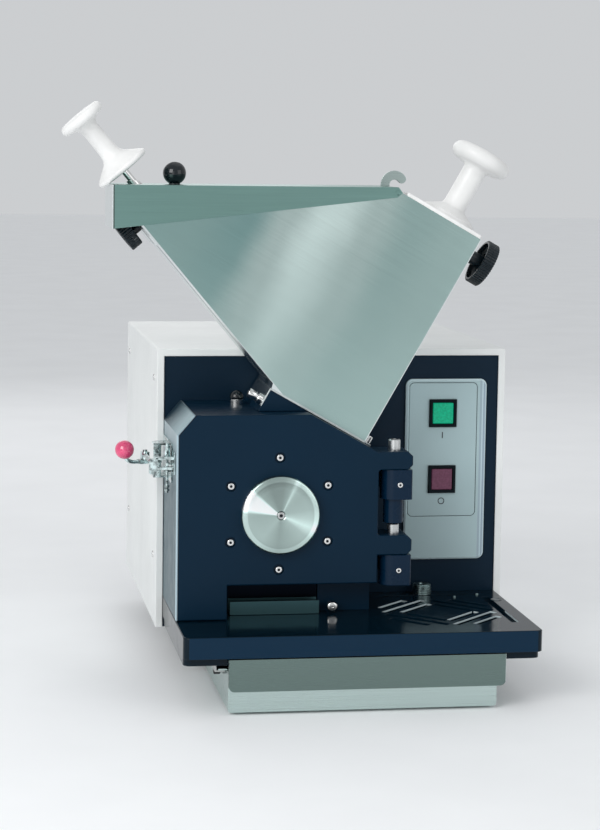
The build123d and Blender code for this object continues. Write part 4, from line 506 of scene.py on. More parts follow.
def finishes():
    """Every finish on the machine, by its plain name."""
    slope = (0, CHANNEL_TILT, 0)
    disc_centre = spot(DISC_CENTRE[0], 0, DISC_CENTRE[1])
    # Painted reflection on the hopper's front: where its light and dark bands fall along the sheet, and their
    # colours.
    start = spot(0, 0, 0).x * cos(CHANNEL_TILT)
    painted_sheen = (start - 0.42, start - 0.1, [(0.0, (0.4, 0.5, 0.5)), (0.2, (0.33, 0.45, 0.455)), (0.33, (0.68, 0.7, 0.7)),
                                         (0.45, (1, 1, 1)), (0.6, (0.64, 0.67, 0.67)),
                                         (0.72, (0.465, 0.545, 0.545)), (0.86, (0.52, 0.59, 0.59)),
                                         (1.0, (0.58, 0.65, 0.65))])
    # Painted reflections on the chamber block's and door's left side and slanting corner. The side fades from dark at
    # the bottom to light at the top, and is painted lighter in its front 9 mm. The corner fades from light at the
    # front to dark at the back. On the front face, a painted highlight line and a painted dark line run along both of
    # these edges.
    block_corner = spot(BLOCK_LEFT, 0, BLOCK_TOP - CORNER_DROP)
    corner_out = Vector((-CORNER_DROP, 0, CORNER_RUN)).normalized()
    block_side = (spot(BLOCK_LEFT, 0, 0), LEFT)
    slanted = (block_corner, corner_out)
    door_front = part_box("chamber_door")[0]
    painted_dark_edge, painted_edge_highlight = (0.001, 0.006, 0.014), (0.2, 0.27, 0.31)
    painted_side_reflections = ((((*block_side, 2.4),), painted_dark_edge), (((*slanted, 2.4),), painted_dark_edge),
                 (((*block_side, 1.4),), painted_edge_highlight), (((*slanted, 1.4),), painted_edge_highlight),
                 (((*block_side, 0.5),), dict(index=2, low=0.215, high=0.285, first=(0.11, 0.155, 0.175),
                                              last=(0.36, 0.44, 0.47))),
                 (((*block_side, 0.5), (door_front, FORWARD, 9)), (0.44, 0.58, 0.64)),
                 (((*slanted, 0.5),), dict(index=1, low=door_front.y + 0.02, high=HOUSE_FRONT_Y - 0.01,
                                           first=(0.3, 0.4, 0.43), last=(0.02, 0.04, 0.055))))
    # Painted highlights on the hopper's edges: the slanting wall's outer face is painted light, with a painted dark
    # band 30 to 50 mm back from the front, and light strips run along the foot's edges.
    edge = (0.82, 0.88, 0.88)
    chute_wall = (spot(CHUTE_FOOT[0], 0, CHUTE_FOOT[1]), -CHUTE_INWARD, 0.6)
    hopper_foot = spot(HOPPER_FOOT[0], 0, HOPPER_FOOT[1])
    hopper_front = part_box("hopper")[0]
    painted_hopper_edge_light = (((chute_wall,), edge), ((chute_wall, (hopper_front, -FORWARD, -30)), (0.2, 0.26, 0.27)),
                    ((chute_wall, (hopper_front, -FORWARD, -50)), near(edge, 0.85)),
                    (((hopper_foot, SLOPE_DOWN, 0.9),), edge), (((hopper_foot, -CHANNEL_UP, 2.2),), near(edge, 0.8)))
    # Painted highlight on the lid's left end face: near white, with a painted shadow line just inside it.
    lid_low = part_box("lid")[0]
    painted_lid_end_highlight = ((((lid_low, LEFT, 2.3),), (0.12, 0.17, 0.16)), (((lid_low, LEFT, 0.7),), (0.88, 0.92, 0.92)))
    # The handle plate's front is painted darker than the drawer, and a painted highlight runs down its right edge.
    plate = (spot(0, HANDLE_PLATE_Y, 0), FORWARD, 0)
    handle_plate_dark_face_and_highlight = (((plate,), (0.165, 0.225, 0.21)),
                    ((plate, (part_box("drawer")[1], -LEFT, 1.3)), (0.6, 0.68, 0.66)))
    # The cassette is painted near black as painted shade in its recess; only below its lip's top does it keep a dark
    # steel colour.
    cassette_lip = ((((spot(0, 0, CASSETTE_LIP_TOP), -UP, 0),), (0.07, 0.15, 0.165)),)
    bezel_low, bezel_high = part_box("control_bezel")
    bezel_middle = (bezel_low + bezel_high) / 2
    bezel_middle.y = bezel_low.y + 1.2 * MM
    bezel_half = (bezel_high - bezel_low) / 2 / MM
    # Painted highlights on the bezel: light and dark lines down its right side, with its sides painted light near the
    # face and dark further back.
    painted_bezel_rim_light = ((((bezel_high, -LEFT, 8),), (0.33, 0.43, 0.49)), (((bezel_high, -LEFT, 5.6),), (0.5, 0.63, 0.68)),
                 (((bezel_high, -LEFT, 4),), (0.3, 0.39, 0.47)), (((bezel_low, -FORWARD, -0.15),), (0.6, 0.74, 0.78)), (((bezel_low, -FORWARD, -1.8),), (0.12, 0.18, 0.2)))
    # Painted shade: the groove round the bezel's field is painted dark.
    painted_bezel_groove_shade = (bezel_middle, (bezel_half.x - 4, 0.85, bezel_half.z - 4))
    return {
        "white_enamel": enamel("white_enamel", (0.8, 0.82, 0.81), 0.34),
        "black_enamel": enamel("black_enamel", (0.002, 0.014, 0.03), 0.45, 0.3, shine=0.14),
        # Painted reflections on the block's and door's left side and corner.
        "navy_enamel": enamel("navy_enamel", (0.001, 0.015, 0.034), 0.4, 0.3, shine=0.13, zones=painted_side_reflections),
        "hinge_enamel": enamel("hinge_enamel", (0.001, 0.014, 0.036), 0.26, 0.2, shine=0.17),
        "gloss_black": table_gloss(),
        # Painted highlights on the bezel's rim and painted shade in its groove.
        "panel_grey": enamel("panel_grey", (0.4, 0.53, 0.55), 0.42, 0.25, shine=0.35, zones=painted_bezel_rim_light,
                             groove=painted_bezel_groove_shade),
        # Painted reflection bands and painted edge highlights on the hopper.
        "hopper_steel": brushed("hopper_steel", (0.76, 0.91, 0.87), 0.25, slope, painted_sheen=painted_sheen, zones=painted_hopper_edge_light),
        # Painted highlight on the lid's left end.
        "lid_steel": brushed("lid_steel", (0.21, 0.355, 0.325), 0.3, zones=painted_lid_end_highlight),
        "plain_steel": brushed("plain_steel", (0.42, 0.5, 0.48), 0.28),
        # Handle plate painted darker, with a painted highlight on its right edge.
        "drawer_steel": brushed("drawer_steel", (0.53, 0.64, 0.62), 0.28, zones=handle_plate_dark_face_and_highlight),
        # Painted shade: near black all over, with a steel colour on the lip only.
        "cassette_painted_shade": brushed("cassette_painted_shade", (0.004, 0.006, 0.01), 0.35, zones=cassette_lip),
        "turned_steel": turned_steel("turned_steel", disc_centre, 36),
        "bright_steel": bright_metal("bright_steel", (0.74, 0.74, 0.73), 0.16),
        # Painted reflection: the latch's marks at high contrast are dark and bright blotches standing in for what the
        # chrome mirrors.
        "latch_chrome": bright_metal("latch_chrome", (0.44, 0.52, 0.52), 0.12, 0.1, 0.8),
        "ground_steel": bright_metal("ground_steel", (0.56, 0.57, 0.57), 0.3, 0.25),
        "dark_steel": bright_metal("dark_steel", (0.2, 0.22, 0.23), 0.3, 0.2),
        "zinc_sheet": bright_metal("zinc_sheet", (0.52, 0.53, 0.52), 0.42, 0.3),
        "white_nylon": moulded("white_nylon", (0.8, 0.8, 0.79), 0.38, 700, 0.1),
        "black_knob": moulded("black_knob", (0.005, 0.012, 0.017), 0.3, shine=0.4),
        "black_ball": moulded("black_ball", (0.002, 0.006, 0.009), 0.05, 400, 0.03, 0.5),
        "black_plastic": moulded("black_plastic", (0.002, 0.006, 0.009), 0.35, shine=0.09),
        "ball_red": glossy_ball("ball_red", (0.72, 0.06, 0.18)),
        "green_lens": lens_plastic("green_lens", (0.0, 0.36, 0.19), 0.25),
        "red_lens": lens_plastic("red_lens", (0.14, 0.045, 0.085), 0.1),
        "rubber": moulded("rubber", (0.02, 0.02, 0.021), 0.75, 300, 0.4),
        "cast_iron": cast_metal("cast_iron", (0.09, 0.095, 0.1), 0.6),
        "motor_paint": cast_metal("motor_paint", (0.05, 0.09, 0.14), 0.5),
        "stud_steel": bright_metal("stud_steel", (0.3, 0.4, 0.4), 0.32, 0.2),
        # Painted shade for the dark sheet at each socket's floor.
        "painted_socket_shade": moulded("painted_socket_shade", (0.02, 0.024, 0.028), 0.6, shine=0.1),
        "mark_ink": moulded("mark_ink", (0.02, 0.02, 0.025), 0.5),
    }


# Modelling helpers


def deselect():
    bpy.ops.object.select_all(action="DESELECT")


def activate(piece):
    deselect()
    piece.select_set(True)
    bpy.context.view_layer.objects.active = piece


def add_modifier(piece, kind, **settings):
    """Adds a modifier, sets it and applies it."""
    activate(piece)
    modifier = piece.modifiers.new(kind.lower(), kind)
    for key, value in settings.items():
        setattr(modifier, key, value)
    bpy.ops.object.modifier_apply(modifier=modifier.name)


def soften(piece, width, segments=3, angle=30):
    """Rounds the sharp edges of a piece and smooths what is left."""
    add_modifier(piece, "BEVEL", width=width * MM, segments=segments, limit_method="ANGLE",
                 angle_limit=radians(angle), harden_normals=False, use_clamp_overlap=True)
    activate(piece)
    bpy.ops.object.shade_smooth_by_angle(angle=radians(35))
    add_modifier(piece, "WEIGHTED_NORMAL", keep_sharp=True)


def settle(piece):
    """Puts a piece's place into its mesh, with its object at the origin."""
    activate(piece)
    bpy.ops.object.transform_apply(location=True, rotation=True, scale=True)


def keep(piece, name, finish, body, stands_for=()):
    """Names a finished piece, gives it its finish and fixes it to its body."""
    settle(piece)
    piece.name = name
    piece.data.name = name
    piece.data.materials.clear()
    piece.data.materials.append(FINISHES[finish])
    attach(piece, body)
    if stands_for:
        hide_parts(*stands_for)
    return piece


def merged_copy(node):
    """A node's shape as clean faces, ready for modelling."""
    original = frame["nodes"][node]
    mesh = original.data.copy()
    piece = bpy.data.objects.new(node + "_look", mesh)
    bpy.context.scene.collection.objects.link(piece)
    activate(piece)
    bpy.ops.object.mode_set(mode="EDIT")
    bpy.ops.mesh.select_all(action="SELECT")
    bpy.ops.mesh.remove_doubles(threshold=0.00001)
    bpy.ops.mesh.dissolve_limited(angle_limit=radians(0.6))
    bpy.ops.object.mode_set(mode="OBJECT")
    return piece


def refine(node, finish, width, segments=3):
    """A node's own shape with rounded edges."""
    piece = merged_copy(node)
    if width:
        soften(piece, width, segments)
    body = frame["nodes"][node]["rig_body"]
    return keep(piece, node + "_look", finish, body, (node,))


def standing(place, direction, across=(0, 0, 1)):
    """The turn and place that put a piece's Z axis along a direction."""
    z_axis = Vector(direction).normalized()
    x_axis = Vector(across)
    x_axis = (x_axis - z_axis * x_axis.dot(z_axis)).normalized()
    y_axis = z_axis.cross(x_axis)
    matrix = Matrix((x_axis, y_axis, z_axis)).transposed().to_4x4()
    matrix.translation = place
    return matrix


def turned(profile, matrix, segments=64):
    """A turned piece, drawn out along its axis from disc to disc through (radius, height) pairs in mm."""
    radius, height = profile[0]
    bpy.ops.mesh.primitive_circle_add(vertices=segments, radius=radius * MM, fill_type="NGON",
                                      location=(0, 0, height * MM))
    piece = bpy.context.object
    settle(piece)
    bpy.ops.object.mode_set(mode="EDIT")
    bpy.ops.mesh.select_all(action="SELECT")
    for next_radius, next_height in profile[1:]:
        bpy.ops.mesh.extrude_region_move(
            TRANSFORM_OT_translate={"value": (0, 0, (next_height - height) * MM)})
        scale = next_radius / radius
        bpy.ops.transform.resize(value=(scale, scale, 1), center_override=(0, 0, next_height * MM))
        radius, height = next_radius, next_height
    bpy.ops.mesh.select_all(action="SELECT")
    bpy.ops.mesh.normals_make_consistent(inside=False)
    bpy.ops.object.mode_set(mode="OBJECT")
    piece.matrix_world = matrix
    settle(piece)
    return piece


def rounded_block(place, size, radius):
    """A block of a size in mm with rounded edges."""
    bpy.ops.mesh.primitive_cube_add(size=1, location=place)
    piece = bpy.context.object
    piece.scale = [part * MM for part in size]
    settle(piece)
    if radius:
        soften(piece, radius)
    return piece


def draw_out(piece, direction, length, scale):
    """Draws the faces that look along a direction further out, and narrows them."""
    activate(piece)
    bpy.ops.object.mode_set(mode="EDIT")
    bpy.ops.mesh.select_all(action="DESELECT")
    bpy.ops.object.mode_set(mode="OBJECT")
    chosen = [face for face in piece.data.polygons if face.normal.dot(direction) > 0.9]
    for face in chosen:
        face.select = True
    middle = sum((face.center for face in chosen), Vector()) / len(chosen)
    bpy.ops.object.mode_set(mode="EDIT")
    bpy.ops.mesh.extrude_region_move(TRANSFORM_OT_translate={"value": direction * length * MM})
    bpy.ops.transform.resize(value=(scale, scale, scale), center_override=middle + direction * length * MM)
    bpy.ops.object.mode_set(mode="OBJECT")


def arc(radius, height, reach, start, stop, steps=8):
    """(radius, height) pairs round a rounded corner, angles in degrees from the outward direction."""
    pairs = []
    for step in range(steps + 1):
        angle = radians(start + (stop - start) * step / steps)
        pairs.append((max(0.02, radius + reach * cos(angle)), height + reach * sin(angle)))
    return pairs


FINISHES = finishes()

# Nodes that keep their own shape: finish and edge radius in mm
REFINED = {
    "housing_shell": ("white_enamel", 0.9), "base_pan": ("zinc_sheet", 0.4),
    "front_panel": ("black_enamel", 0.3), "rear_panel": ("black_enamel", 0.3),
    "power_inlet": ("black_plastic", 0.4), "table_plate": ("gloss_black", 0.7),
    "chamber_block": ("navy_enamel", 0.8), "chamber_door": ("navy_enamel", 0.8),
    "hinge_bracket_upper": ("hinge_enamel", 0.8), "hinge_bracket_lower": ("hinge_enamel", 0.8),
    "rotor": ("ground_steel", 0.3), "rotor_bolt": ("dark_steel", 0.3),
    "spindle": ("bright_steel", 0.4), "bearing_housing": ("cast_iron", 0.8),
    "spindle_bearings": ("bright_steel", 0.3), "spindle_pulley": ("cast_iron", 0.5),
    "motor_pulley": ("cast_iron", 0.5), "drive_belt": ("rubber", 0.8), "motor": ("motor_paint", 1.0),
    "motor_shaft": ("bright_steel", 0.4), "motor_bracket": ("zinc_sheet", 0.5),
    "fixed_knives": ("ground_steel", 0.3), "sieve_cassette": ("cassette_painted_shade", 0.2),
    "hopper": ("hopper_steel", 0.7), "lid": ("lid_steel", 0.7), "rod_guide": ("bright_steel", 0.3),
    "lid_rivets": ("lid_steel", 0),
    "channel_cover": ("white_nylon", 0.6), "left_plunger_rod": ("bright_steel", 0.6),
    "control_bezel": ("panel_grey", 0.6), "start_frame": ("black_plastic", 0.5),
    "stop_frame": ("black_plastic", 0.5), "start_button": ("green_lens", 0.5),
    "stop_button": ("red_lens", 0.5), "drawer": ("drawer_steel", 0.6), "drawer_rails": ("zinc_sheet", 0.4),
    "drawer_glides": ("rubber", 0.8), "latch_bracket": ("latch_chrome", 0.4),
    "latch_lever": ("latch_chrome", 0.4), "latch_bar": ("latch_chrome", 0.5),
}


def refined_nodes():
    for node, (finish, width) in REFINED.items():
        refine(node, finish, width)


def front_disc():
    """Turned cover disc: a shallow cone with a rounded rim and a dimple for its screw."""
    low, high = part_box("cover_disc")
    thick = (high.y - low.y) / MM
    radius = (high.x - low.x) / 2 / MM
    rim = 2.5
    profile = [(radius, 0), (radius, thick - rim)]
    profile += arc(radius - rim, thick - rim - 0.9, rim, 0, 75, 6)[1:]
    profile += [(30, thick - 0.45), (14, thick - 0.2), (5.2, thick), (4.4, thick - 0.6), (4.4, thick - 4)]
    place = box_middle("cover_disc")
    place.y = high.y
    piece = turned(profile, standing(place, FORWARD), 128)
    activate(piece)
    bpy.ops.object.shade_smooth_by_angle(angle=radians(20))
    keep(piece, "turned_disc", "turned_steel", "door", ("cover_disc",))


def socket_screw(name, place, direction, radius, height, socket, body, stands_for=(), finish="bright_steel"):
    """Cap screw with a rounded rim and a hexagon socket, with a thin dark hexagon at the socket's floor as painted
    shade.
    """
    rim = radius * 0.18
    profile = [(radius, 0), (radius, height - rim)] + arc(radius - rim, height - rim, rim, 0, 90, 4)[1:]
    profile += [(radius * 0.55, height)]
    piece = turned(profile, standing(place, direction), 40)
    recess = 0.6 * height
    # Painted shade: the thin hexagon left at the socket's floor is a dark sheet standing in for the shade inside the
    # socket.
    for depth, level in ((2 * recess, height), (0.2, height - recess + 0.1)):
        bpy.ops.mesh.primitive_cylinder_add(vertices=6, radius=socket * MM, depth=depth * MM)
        hexagon = bpy.context.object
        hexagon.matrix_world = standing(place + Vector(direction) * level * MM, direction)
        settle(hexagon)
        if depth > recess:
            add_modifier(piece, "BOOLEAN", operation="DIFFERENCE", object=hexagon, solver="EXACT")
            bpy.data.objects.remove(hexagon)
        else:
            keep(hexagon, name + "_socket", "painted_socket_shade", body)
    activate(piece)
    bpy.ops.object.shade_smooth_by_angle(angle=radians(30))
    return keep(piece, name, finish, body, stands_for)


def screws():
    """Socket screws on the door, the disc and the hinge knuckles."""
    place = box_middle("disc_screw")
    low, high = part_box("disc_screw")
    place.y = high.y
    socket_screw("disc_centre_screw", place, FORWARD, 4.1, (high.y - low.y) / MM, 2.1, "door", ("disc_screw",),
                 "ground_steel")
    low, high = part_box("door_screws")
    for index in range(6):
        angle = radians(90 + 60 * index)
        place = spot(DISC_CENTRE[0] + 60.7 * cos(angle), 0, DISC_CENTRE[1] + 60.7 * sin(angle))
        place.y = high.y
        socket_screw(f"door_screw_{index}", place, FORWARD, 3.6, (high.y - low.y) / MM, 1.7, "door",
                     ("door_screws",))
    for index, height in enumerate((230, 136.35)):
        place = spot(50.5, -131, height)
        socket_screw(f"knuckle_screw_{index}", place, FORWARD, 2.9, 1.2, 1.4, "base", ("hinge_screws",))


def plungers():
    """The two white handles, turned from one bar each."""
    rod = spot(-229.7, HOPPER_MIDDLE_Y, 548.0)
    profile = [(0.05, 21), (28.2, 21)] + arc(28.2, 24.4, 3.4, -90, 68, 8) + [(13.5, 39), (11.3, 43), (10.4, 48), (10, 76)]
    profile += [(10.6, 81), (13, 84.5), (17, 86)] + arc(20.5, 92.3, 5.8, -75, 80, 10) + [(12, 98.9), (0.05, 99)]
    handle = turned(profile, standing(rod, CHUTE_UP, (0, 1, 0)), 96)
    activate(handle)
    bpy.ops.object.shade_smooth_by_angle(angle=radians(40))
    keep(handle, "left_handle", "white_nylon", "left_plunger", ("left_plunger_handle",))

    along, rise = -33.5, 258.4
    place = spot(16 + along * cos(CHANNEL_TILT) + rise * sin(CHANNEL_TILT), HOPPER_MIDDLE_Y,
                 272 - along * sin(CHANNEL_TILT) + rise * cos(CHANNEL_TILT))
    profile = [(0.05, -232), (26, -232), (28, -230), (28, -222), (26, -220), (12.6, -218), (12.5, 0.3), (30, 0.3)]
    profile += arc(30, 1.8, 1.4, -80, 20, 5) + [(31.2, 5.2), (29.8, 6.3), (17.5, 13.4), (15, 14.8), (13.6, 16.8),
                                                (13, 20)]
    profile += [(13, 60), (13.6, 63.5), (16, 65.6), (22, 66.8)] + arc(25.2, 76, 9.2, -78, 80, 12)
    profile += [(16, 85.4), (0.05, 85.8)]
    handle = turned(profile, standing(place, CHANNEL_UP, (0, 1, 0)), 96)
    activate(handle)
    bpy.ops.object.shade_smooth_by_angle(angle=radians(40))
    keep(handle, "right_handle", "white_nylon", "right_plunger", ("right_plunger",))


def ball_knob():
    """Black ball on a short neck, on the lid."""
    low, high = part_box("lid_knob")
    radius = (high.x - low.x) / 2 / MM
    place = box_middle("lid_knob")
    place.z = low.z
    top = (high.z - low.z) / MM
    profile = [(6.2, 0), (6.2, 1.2)] + arc(0, top - radius, radius, -58, 89.8, 28)
    piece = turned(profile, standing(place, UP, (1, 0, 0)), 64)
    activate(piece)
    bpy.ops.object.shade_smooth_by_angle(angle=radians(40))
    keep(piece, "lid_ball", "black_ball", "lid", ("lid_knob",))


def ribbed_knob(name, place, direction, radius, standoff, seat, thick, ribs, body, node):
    """Clamp knob: a ribbed rim with a groove round it, hollow behind, on a hub and a stud."""
    hollow = thick * 0.55
    profile = [(radius * 0.3, seat), (radius * 0.3, standoff + hollow * 0.7), (radius * 0.36, standoff + hollow),
               (radius * 0.76, standoff + hollow), (radius * 0.84, standoff + hollow * 0.7),
               (radius * 0.86, standoff), (radius * 0.95, standoff), (radius, standoff + 0.8),
               (radius, standoff + thick * 0.42), (radius * 0.985, standoff + thick * 0.45),
               (radius * 0.985, standoff + thick * 0.5), (radius, standoff + thick * 0.53),
               (radius, standoff + thick - 1), (radius * 0.95, standoff + thick), (radius * 0.7, standoff + thick),
               (radius * 0.66, standoff + thick - 0.9), (0.05, standoff + thick - 0.9)]
    piece = turned(profile, Matrix.Identity(4), ribs * 4)
    activate(piece)
    bpy.ops.object.mode_set(mode="EDIT")
    bpy.ops.mesh.select_all(action="DESELECT")
    bpy.ops.object.mode_set(mode="OBJECT")
    for vertex in piece.data.vertices:
        reach = Vector((vertex.co.x, vertex.co.y)).length
        step = round(atan2(vertex.co.y, vertex.co.x) / (2 * pi) * ribs * 4) % 4
        vertex.select = reach > radius * 0.93 * MM and step in (0, 1)
    bpy.ops.object.mode_set(mode="EDIT")
    bpy.ops.transform.resize(value=(0.955, 0.955, 1), center_override=(0, 0, 0))
    bpy.ops.object.mode_set(mode="OBJECT")
    piece.matrix_world = standing(place, direction, (0, 1, 0))
    activate(piece)
    bpy.ops.object.shade_smooth_by_angle(angle=radians(25))
    keep(piece, name, "black_knob", body, (node,))
    stud = turned([(3.9, -4.4), (4, -4), (4, 1)], standing(place, direction, (0, 1, 0)), 32)
    keep(stud, name + "_stud", "ground_steel", body)


def clamp_knobs():
    rise = 237
    place = spot(16 + rise * sin(CHANNEL_TILT), HOPPER_MIDDLE_Y, 272 + rise * cos(CHANNEL_TILT))
    ribbed_knob("right_clamp_knob", place, SLOPE_DOWN, 25.5, 20, 0.3, 13.5, 46, "right_knob", "right_knob")
    place = spot(-85.4 - 218 * cos(CHUTE_ANGLE), HOPPER_MIDDLE_Y, 337.8 + 218 * sin(CHUTE_ANGLE))
    ribbed_knob("left_clamp_knob", place, -CHUTE_INWARD, 16, 9.5, 1.8, 13.5, 30, "left_knob", "left_knob")


def hinge_pins():
    """Bright pin heads over the ears, with a chamfered top and a small centre mark."""
    heads = {"upper": (266, 12), "lower": (175, 11)}
    pins = {"upper": 221.8, "lower": 127.5}
    for index, (level, (base, height)) in enumerate(heads.items()):
        place = spot(46.5, -116, 0)
        profile = [(5, pins[level]), (5, base), (6.5, base), (6.5, base + height - 0.9),
                   (5.8, base + height), (1.4, base + height), (1.1, base + height - 0.7), (0.05, base + height - 1)]
        piece = turned(profile, standing(place, UP, (1, 0, 0)), 48)
        activate(piece)
        bpy.ops.object.shade_smooth_by_angle(angle=radians(30))
        keep(piece, f"hinge_pin_{level}", "ground_steel", "door", ("hinge_pins",))


def hopper_screws():
    """The two-step clamp screw at the hopper's foot tab and the socket screw through its flange."""
    along, rise = -120.4, -14
    place = spot(16 + along * cos(CHANNEL_TILT) + rise * sin(CHANNEL_TILT), -92,
                 272 - along * sin(CHANNEL_TILT) + rise * cos(CHANNEL_TILT))
    profile = [(6, 0), (6, 5), (5.5, 5.8), (4, 6), (4, 8), (5, 8.2), (5.3, 8.8), (5.3, 16), (4.8, 17), (2.6, 17),
               (2.4, 14.5), (0.05, 14.5)]
    piece = turned(profile, standing(place, -SLOPE_DOWN, (0, 1, 0)), 48)
    activate(piece)
    bpy.ops.object.shade_smooth_by_angle(angle=radians(30))
    keep(piece, "tab_clamp_screw", "bright_steel", "base", ("hopper_clamp_screw",))
    along, rise = 6.5, 1.5
    place = spot(16 + along * cos(CHANNEL_TILT) + rise * sin(CHANNEL_TILT), -80,
                 272 - along * sin(CHANNEL_TILT) + rise * cos(CHANNEL_TILT))
    socket_screw("flange_screw", place, CHANNEL_UP, 4.7, 8, 2.5, "base", ("hopper_flange_screw",))


def small_studs():
    """Dome stud on the block, ribbed stud on the table, the cassette's screw and the housing's screws."""
    place = spot(-116, -40, 307)
    shank = turned([(7.2, 0), (7.2, 6.4), (6.8, 7)], standing(place, UP, (1, 0, 0)), 40)
    keep(shank, "dome_shank", "bright_steel", "base")
    dome = turned([(7.4, 7), (7.8, 7.6), (7.8, 8.6)] + arc(0, 8.6, 7.8, 4, 89.5, 12),
                  standing(place, UP, (1, 0, 0)), 48)
    activate(dome)
    bpy.ops.object.shade_smooth_by_angle(angle=radians(40))
    keep(dome, "dome_cap", "black_ball", "base", ("dome_stud",))

    place = spot(103.5, -15, 85)
    profile = [(9.9, 0)]
    for rib in range(4):
        profile += [(10.9, 0.5 + rib * 2.8), (10.9, 2.1 + rib * 2.8), (9.9, 2.4 + rib * 2.8), (9.9, 3.1 + rib * 2.8)]
    profile += [(9.4, 11.9), (3, 11.9), (2.6, 11), (0.05, 11)]
    stud = turned(profile, standing(place, UP, (1, 0, 0)), 64)
    activate(stud)
    bpy.ops.object.shade_smooth_by_angle(angle=radians(30))
    keep(stud, "ribbed_stud", "stud_steel", "base", ("table_stud",))

    place = box_middle("cassette_screw")
    place.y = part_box("cassette_screw")[1].y
    profile = [(3, 0), (3, 11.8), (6, 12)] + arc(3.4, 14.6, 2.6, 0, 85, 6) + [(1.4, 17.3), (1.2, 16.2), (0.05, 16.2)]
    screw = turned(profile, standing(place, FORWARD), 48)
    activate(screw)
    bpy.ops.object.shade_smooth_by_angle(angle=radians(35))
    keep(screw, "cassette_round_screw", "bright_steel", "base", ("cassette_screw",))

    for side in (-1, 1):
        for index, (y, z) in enumerate(((32, 127), (338, 127), (32, 330), (338, 330))):
            place = spot(side * 200, y, z)
            name = f"side_screw_{'left' if side < 0 else 'right'}_{index}"
            socket_screw(name, place, (side, 0, 0), 4, 1.2, 1.6, "base", ("housing_screws",))


def table_trim():
    """The fine rib at the table's back, its two locating pins and the countersunk plug at the right."""
    bpy.ops.mesh.primitive_cube_add(size=1, location=spot(111.5, -24, TABLE_TOP + 0.4))
    rib = bpy.context.object
    rib.scale = (107 * MM, 1.4 * MM, 0.9 * MM)
    settle(rib)
    soften(rib, 0.3, 2)
    keep(rib, "table_rib", "gloss_black", "base")
    for index, (x, y) in enumerate(((136.5, -38), (165.6, -26.4))):
        pin = turned([(1.6, 0), (1.6, 1.2), (1.2, 1.7), (0.05, 1.8)], standing(spot(x, y, TABLE_TOP), UP, (1, 0, 0)), 24)
        keep(pin, f"table_pin_{index}", "stud_steel", "base")
    plug = turned([(6.2, 0), (6.2, 0.4), (5.6, 0.7), (4.6, 0.3), (2.2, 0.25), (0.05, 0.25)],
                  standing(spot(181, -54, TABLE_TOP), UP, (1, 0, 0)), 40)
    activate(plug)
    bpy.ops.object.shade_smooth_by_angle(angle=radians(25))
    keep(plug, "table_plug", "dark_steel", "base")


def feet():
    """Rubber feet with a ribbed skirt and a hollow sole."""
    for side in (-1, 1):
        for index, y in enumerate((22, 335)):
            place = spot(side * 130, y, 49)
            profile = [(18.9, 0), (18.6, 7), (17.2, 8), (17.2, 10), (18.2, 11), (17.6, 38), (17, 47.5), (16, 49),
                       (7, 49), (6.4, 47), (0.05, 47)]
            piece = turned(profile, standing(place, -UP, (1, 0, 0)), 48)
            activate(piece)
            bpy.ops.object.shade_smooth_by_angle(angle=radians(30))
            keep(piece, f"rubber_foot_{'left' if side < 0 else 'right'}_{index}", "rubber", "base", ("feet",))


def latch_ball():
    low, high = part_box("latch_ball")
    centre = box_middle("latch_ball")
    radius = (high.x - low.x) / 2 / MM
    profile = [(2.6, -radius * 0.97)] + arc(0, 0, radius, -72, 89.8, 26)
    piece = turned(profile, standing(centre, NECK_DIRECTION, (0, 1, 0)), 56)
    activate(piece)
    bpy.ops.object.shade_smooth_by_angle(angle=radians(40))
    keep(piece, "latch_grip", "ball_red", "latch_lever", ("latch_ball",))


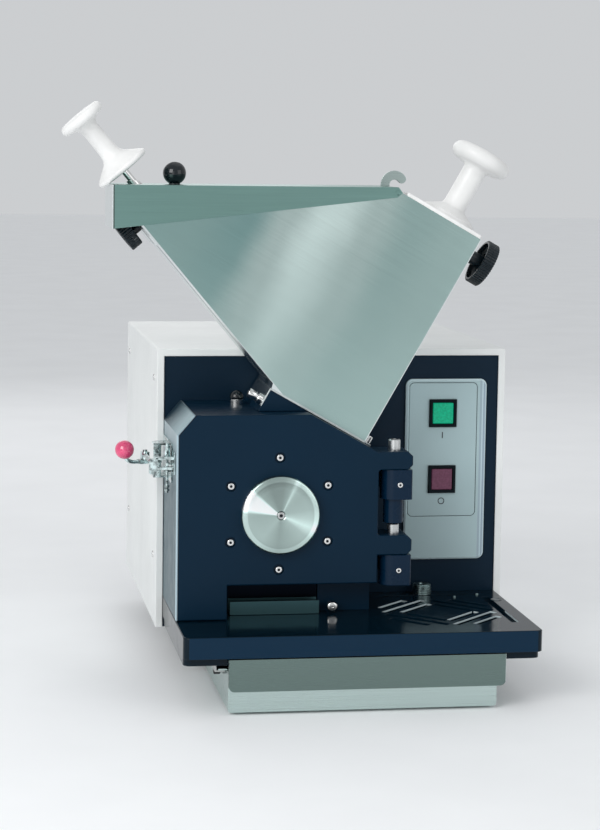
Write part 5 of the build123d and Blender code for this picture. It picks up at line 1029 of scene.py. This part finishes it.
def lid_hook():
    """The lid's flat hook: a strip swept over an arc, with a round tip."""
    centre = spot(54.3, HOPPER_MIDDLE_Y, 551.6)
    foot, tip = radians(196), radians(36)
    half_width = 4.9
    reach = 10.2 * MM
    bpy.ops.mesh.primitive_plane_add(size=1, location=centre + Vector((cos(foot), 0, sin(foot))) * reach,
                                     rotation=(0, -foot, 0))
    hook = bpy.context.object
    hook.scale = (2 * half_width * MM, 3 * MM, 1)
    settle(hook)
    bpy.ops.object.mode_set(mode="EDIT")
    bpy.ops.mesh.select_all(action="SELECT")
    bpy.ops.mesh.spin(steps=22, angle=tip - foot, center=centre, axis=(0, 1, 0))
    middle = centre + Vector((cos(tip), 0, sin(tip))) * reach
    onward = Vector((sin(tip), 0, -cos(tip)))
    before = 0
    for degrees in (25, 50, 75):
        step = half_width * (sin(radians(degrees)) - sin(radians(before)))
        scale = cos(radians(degrees)) / cos(radians(before))
        bpy.ops.mesh.extrude_region_move(TRANSFORM_OT_translate={"value": onward * step * MM})
        middle += onward * step * MM
        bpy.ops.transform.resize(value=(scale, 1, scale), center_override=middle)
        before = degrees
    bpy.ops.mesh.select_all(action="SELECT")
    bpy.ops.mesh.remove_doubles(threshold=0.00001)
    bpy.ops.mesh.normals_make_consistent(inside=False)
    bpy.ops.object.mode_set(mode="OBJECT")
    return hook


def latch_catch():
    """The catch on the door: a seat plate and two tapered prongs."""
    plate = rounded_block(spot(BLOCK_LEFT - 0.9, -104, 253), (1.8, 20, 24), 0.6)
    keep(plate, "catch_plate", "latch_chrome", "door", ("latch_catch",))
    for index, side in enumerate((-1, 1)):
        prong = rounded_block(spot(BLOCK_LEFT - 8, -109, 253 + side * 5.4), (14, 5, 3.6), 0)
        draw_out(prong, LEFT, 6.5, 0.55)
        soften(prong, 0.5)
        keep(prong, f"catch_prong_{index}", "latch_chrome", "door")


def panel_marks():
    """Printed start and stop marks below the two buttons: a bar and a ring."""
    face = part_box("control_bezel")[0].y - 0.0001
    for name, height in (("start_mark", 266), ("stop_mark", 190)):
        place = spot(127.2, 0, height)
        place.y = face
        if name == "start_mark":
            bpy.ops.mesh.primitive_cube_add(size=1, location=place)
            mark = bpy.context.object
            mark.scale = (1.2 * MM, 0.2 * MM, 7 * MM)
            settle(mark)
            soften(mark, 0.08, 2)
        else:
            bpy.ops.mesh.primitive_torus_add(major_radius=3.4 * MM, minor_radius=0.5 * MM, major_segments=48,
                                             minor_segments=8, location=place, rotation=(pi / 2, 0, 0))
            mark = bpy.context.object
            settle(mark)
            activate(mark)
            bpy.ops.object.mode_set(mode="EDIT")
            bpy.ops.mesh.select_all(action="SELECT")
            bpy.ops.transform.resize(value=(1, 0.25, 1), center_override=place)
            bpy.ops.object.mode_set(mode="OBJECT")
        keep(mark, name, "mark_ink", "base")


photo_camera()
studio()
refined_nodes()
front_disc()
screws()
plungers()
ball_knob()
clamp_knobs()
hinge_pins()
hopper_screws()
small_studs()
table_trim()
feet()
latch_ball()
latch_catch()
hook = lid_hook()
soften(hook, 0.35, 2)
keep(hook, "flat_hook", "plain_steel", "lid", ("lid_hook",))
panel_marks()
